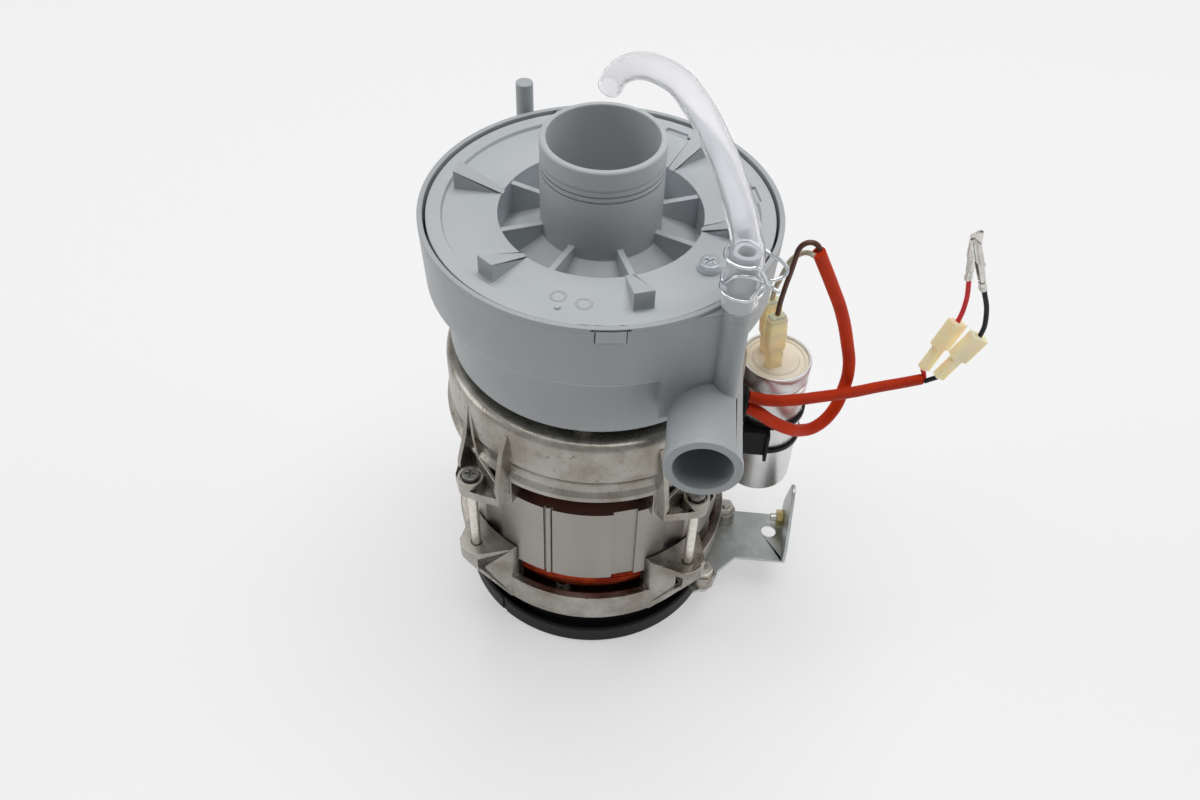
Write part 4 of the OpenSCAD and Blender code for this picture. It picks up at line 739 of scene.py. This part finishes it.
def castingLug(bm, angle, hand):
    start = set(bm.verts)
    stack, body, bolts = casting["stack"], casting["body"], casting["bolts"]
    low, top, lug, reach = (casting[key] for key in ("low", "top", "lug", "reach"))
    # floor with a rim
    floorTop = prism(bm, [(stack + 1.5, -10), (bolts - 1.4, -10.4), (bolts + 2.6, -7),
                          (reach, -2.4), (reach, 2.4), (bolts + 3.2, 6), (bolts - 1.8, 14.6),
                          (stack + 1.5, 15.2)], lug, lug + casting["floor"])
    bmesh.ops.inset_individual(bm, faces=[floorTop], thickness=casting["rim"],
                               use_even_offset=True)
    bmesh.ops.translate(bm, vec=(0, 0, -casting["sunk"]), verts=floorTop.verts)
    # boss that the bolt's head stands in
    boss = set(bm.verts)
    prism(bm, disc(casting["bossRadius"]), lug, casting["seat"])
    turned(bm, box((casting["bossHole"], casting["bossRadius"]), casting["seat"] - 0.5,
                   casting["boss"]), steps=40)
    move(bm, boss, shift(bolts, 0))
    # pad on the stack and two pointed blades
    prism(bm, sector(stack - 3.4, body + 0.6, *casting["pad"]), casting["window"], low + 1)
    slab(bm, [(stack - 1, lug), (bolts - 1.6, lug), (bolts - 1.7, lug + 9), (body + 3, top - 22),
              (body + 1, top - 12), (body - 1.3, top - 5.4), (body - 3.2, top - 5.4),
              (body - 3.2, low + 1)], *blades["tall"])
    slab(bm, [(stack - 1, lug), (bolts - 0.4, lug), (bolts - 0.8, lug + 9),
              (body + 1.7, top - 20), (body - 0.4, top - 3.4), (body - 3, top - 3.4),
              (body - 3, low + 1)], *blades["short"])
    # leaning rib between the blades
    rib = set(bm.verts)
    across, thick, lean = blades["rib"]
    slab(bm, [(body - 2.4, -14), (body + 1.6, -14), (body + 1.3, -2), (body - 0.3, 11),
              (body - 2.4, 11)], 0, thick)
    move(bm, rib, shift(0, across, low + 13.2) @ rotation(lean, "X"))
    # back wall of the pocket
    wall = set(bm.verts)
    across, thick, lean = blades["wall"]
    slab(bm, [(0, lug + 1), (16.4, lug + 1), (16.4, low), (0, low + 2)], 0, thick)
    move(bm, wall, shift(stack + 4, across) @ rotation(lean))
    move(bm, start, rotation(angle) @ Matrix.Diagonal((1, hand, 1, 1)))


body, low, top, inside = (casting[key] for key in ("body", "low", "top", "inside"))
hub, bore, plate, curve = (casting[key] for key in ("hub", "bore", "plate", "round"))
bodyLine = [
    (hub, 117), (hub, plate - 4), (body - 12.5, plate - 4), (body - 7, top - 4),
    (inside - 1.6, top - 4), (inside, top - 6.4), (inside, low), (body + 1.3, low),
    (body + 1.3, low + 2.4), (body - 0.5, low + 4.4), (body - 0.9, low + 7),
    (body - 0.7, low + 9.6), (body, low + 10.6)]
for i in range(7):  # rounded shoulder
    turn = math.radians(15 * i)
    bodyLine.append((body - curve + curve * math.cos(turn), top - curve + curve * math.sin(turn)))
bodyLine += [(body - 9, top - 0.4), (body - 13.5, plate), (bore, plate), (bore, 126),
             (hub - 4, 126), (hub - 4, 117)]
bm = bmesh.new()
turned(bm, bodyLine)
for i, angle in enumerate(casting["angles"]):
    castingLug(bm, angle, 1 if i % 2 == 0 else -1)
for i in range(4):
    start = set(bm.verts)
    prism(bm, disc(casting["postRadius"]), plate - 2, casting["postTop"])
    move(bm, start, rotation(90 * i) @ shift(casting["posts"], 0))
driveShield = finishShape(bm, "driveEndShield", shieldMetal, "drive_end_shield")
roundEdges(driveShield, 0.35)

# clip of the capacitor: two hoops, a block where they close and a saddle on the stack
print("capacitor clip")
hoop = {"x": 76.49, "y": 18.51, "can": 15.5, "thick": 1.2, "tall": 2.4, "low": 73.8, "span": 18.0}
block = {"seat": 15.9, "end": -19.5, "wide": (1, -1.5, -4, -6.5, -8.5, -10.5), "inset": 1.8,
         "lip": (-0.4, 1.0), "lipEnds": (-21.7, -16.7), "lipLow": 0.2, "lipTop": 1.2}
saddle = {"stack": 58.0, "seat": 16.1, "reach": 78.7, "half": 7, "angle": 13.6}


def arcSide(radius, middle, way, count=9):  # where a circle crosses the saddle's strip
    spots = [saddle["half"] * (2 * i / (count - 1) - 1) for i in range(count)]
    return [(middle - way * math.sqrt(radius ** 2 - y ** 2), y) for y in spots]


hoopLow, hoopTop = hoop["low"], hoop["low"] + hoop["span"]
bm = bmesh.new()
for z in (hoopLow, hoopTop - hoop["tall"]):
    turned(bm, box((hoop["can"], hoop["can"] + hoop["thick"]), z, z + hoop["tall"]), steps=96)
blockSide = [(x, -math.sqrt(block["seat"] ** 2 - x ** 2)) for x in block["wide"]]
blockEnd = [(block["wide"][-1], block["end"]), (block["wide"][0], block["end"])]
prism(bm, blockEnd + blockSide, hoopLow + block["inset"], hoopTop - block["inset"])
prism(bm, box(block["lip"], *block["lipEnds"]), hoopLow + block["lipLow"],
      hoopTop - block["lipTop"])
move(bm, set(), shift(hoop["x"], hoop["y"]))
start = set(bm.verts)
onStack = arcSide(saddle["stack"], 0, -1)
onCan = arcSide(saddle["seat"], saddle["reach"], 1)
prism(bm, onStack + onCan[::-1], hoopLow, hoopTop)
move(bm, start, rotation(saddle["angle"]))
capacitorClip = finishShape(bm, "capacitorClip", blackPlastic, "capacitor_clip")
roundEdges(capacitorClip, 0.2)

# connector housings: a narrow neck for the lead, a wide half, and a latch on each side
print("connector housings")
housingParts = (  # half width, half depth, first and last share of the length
    (2.4, 2.1, 0, 0.6), (4.3, 2.7, 0.46, 1), (3.3, 0.5, 0.4, 0.5))


def housing(bm, foot, tip):
    start = set(bm.verts)
    along = Vector(tip) - Vector(foot)
    length = along.length
    for wide, deep, low, high in housingParts:
        prism(bm, box((-wide, wide), -deep, deep), low * length, high * length)
    lean, way = math.acos(along.z / length), math.atan2(along.y, along.x)
    move(bm, start, Matrix.Translation(foot) @ Matrix.Rotation(way, 4, "Z")
         @ Matrix.Rotation(lean, 4, "Y"))


bm = bmesh.new()
housing(bm, (144.5, 34.5, 103.5), (154.5, 40, 128))
housing(bm, (150.5, 30, 103.5), (163, 33, 127))
connectorHousings = finishShape(bm, "connectorHousings", creamPlastic, "connector_housings")
roundEdges(connectorHousings, 0.6, 3)

# boots: soft flat sleeves, narrow at the tab and full above it
print("boots")
bootLook = {"sides": 24, "square": 0.35, "turn": 0.5}
bootLevels = (  # height, half width, half depth
    (0, 3.3, 2.1), (0.6, 3.5, 2.3), (8.5, 3.5, 2.3), (10.5, 4.3, 2.6), (18, 4.4, 2.7),
    (25, 4.2, 2.6), (27, 3.7, 2.2), (27.8, 2.6, 1.5))


def boot(bm, foot, tip):
    start = set(bm.verts)
    bmesh.ops.create_circle(bm, cap_ends=True, segments=bootLook["sides"], radius=1)
    for vert in newVerts(bm, start):  # from a circle to a rounded oblong
        vert.co.x = math.copysign(abs(vert.co.x) ** bootLook["square"], vert.co.x)
        vert.co.y = math.copysign(abs(vert.co.y) ** bootLook["square"], vert.co.y)
    face = newVerts(bm, start)[0].link_faces[0]
    height, wide, deep = bootLevels[0]
    bmesh.ops.scale(bm, vec=(wide, deep, 1), verts=face.verts)
    for level, nextWide, nextDeep in bootLevels[1:]:
        face = lengthen(bm, face, level - height, (nextWide / wide, nextDeep / deep, 1))
        height, wide, deep = level, nextWide, nextDeep
    slant = Matrix.Identity(4)  # leans towards the tip, with its ends still level
    slant[0][2] = (tip[0] - foot[0]) / (tip[2] - foot[2])
    slant[1][2] = (tip[1] - foot[1]) / (tip[2] - foot[2])
    move(bm, start, Matrix.Translation(foot) @ slant @ Matrix.Rotation(bootLook["turn"], 4, "Z"))


bm = bmesh.new()
boot(bm, (75, 14, 118), (73, 15, 146))
boot(bm, (73, 23.5, 118), (71, 24.5, 145.8))
finishShape(bm, "terminalBoots", bootPlastic, "terminal_boots", 50)

# receptacles: rolled sheath, stem and crimp, each built along its own axis
print("receptacles")
receptacleLook = {
    "sheath": 10.5, "half": 3.3, "roll": 1.25, "sheet": 0.42, "slit": 0.3, "floor": 0.85,
    "floorHalf": 2.5, "barb": (-3.0, -1.9), "stem": 4.6, "spread": 1.25,
    "crimp": (1.75, 1.55, 0.55), "crimpTop": 4.0, "taper": 0.97, "grip": (1.95, 1.7, 0.6),
    "gripEnds": (-0.2, 1.6)}
stemOutline = [
    (-1.5, 1.0), (-1.5, -1.0), (-1.1, -1.25), (1.1, -1.25), (1.5, -1.0), (1.5, 1.0), (1.1, 1.0),
    (1.0, -0.8), (-1.0, -0.8), (-1.1, 1.0)]


def sheathOutline(look, bends=8):  # a sheath whose edges roll back to a slit
    def line(shrink):
        r, middle = look["roll"] - shrink, look["roll"] - look["half"]
        side = [(middle - r * math.sin(math.pi * i / bends), r * math.cos(math.pi * i / bends))
                for i in range(bends + 1)]
        return [(-look["slit"], r)] + side + [(-x, -y) for x, y in side] + [(look["slit"], r)]
    return line(0) + line(look["sheet"])[::-1]


def foldedOval(wide, deep, dent, count=20):  # a crimp's outline, folded in at the top
    turns = [2 * math.pi * i / count for i in range(count)]
    return [(wide * math.cos(t), deep * math.sin(t) - (dent if abs(t - math.pi / 2) < 0.2 else 0))
            for t in turns]


def receptacle(bm, foot, tip, wide):
    look = receptacleLook
    foot, tip, wide = Vector(foot), Vector(tip), Vector(wide)
    length = (tip - foot).length
    along = (tip - foot).normalized()
    side = (wide - along * along.dot(wide)).normalized()
    start = set(bm.verts)
    sheath = length - look["sheath"]
    half, floor = look["floorHalf"], look["floor"]
    prism(bm, box((-half, half), -floor, floor), sheath + 0.4, length - 0.6)
    prism(bm, sheathOutline(look), sheath, length)
    prism(bm, box(look["barb"], -look["roll"], -floor), sheath - 1.4, sheath + 0.5)
    prism(bm, stemOutline, look["stem"], sheath + 0.2, scale=look["spread"])
    prism(bm, foldedOval(*look["crimp"]), 0, look["crimpTop"], scale=look["taper"])
    prism(bm, foldedOval(*look["grip"]), *look["gripEnds"])
    turn = Matrix((side, along.cross(side), along)).transposed().to_4x4()
    move(bm, start, Matrix.Translation(foot) @ turn)


bm = bmesh.new()
receptacle(bm, (152.6, 41, 151.5), (150, 41, 175), (0.85, 0.6, 0))
receptacle(bm, (157.2, 33, 153), (147.8, 33, 177), (-0.375, 0.916, -0.142))
receptacles = finishShape(bm, "receptacleTerminals", tinMetal, "receptacle_terminals", 40)
roundEdges(receptacles, 0.06, 1, 50)

print("done")
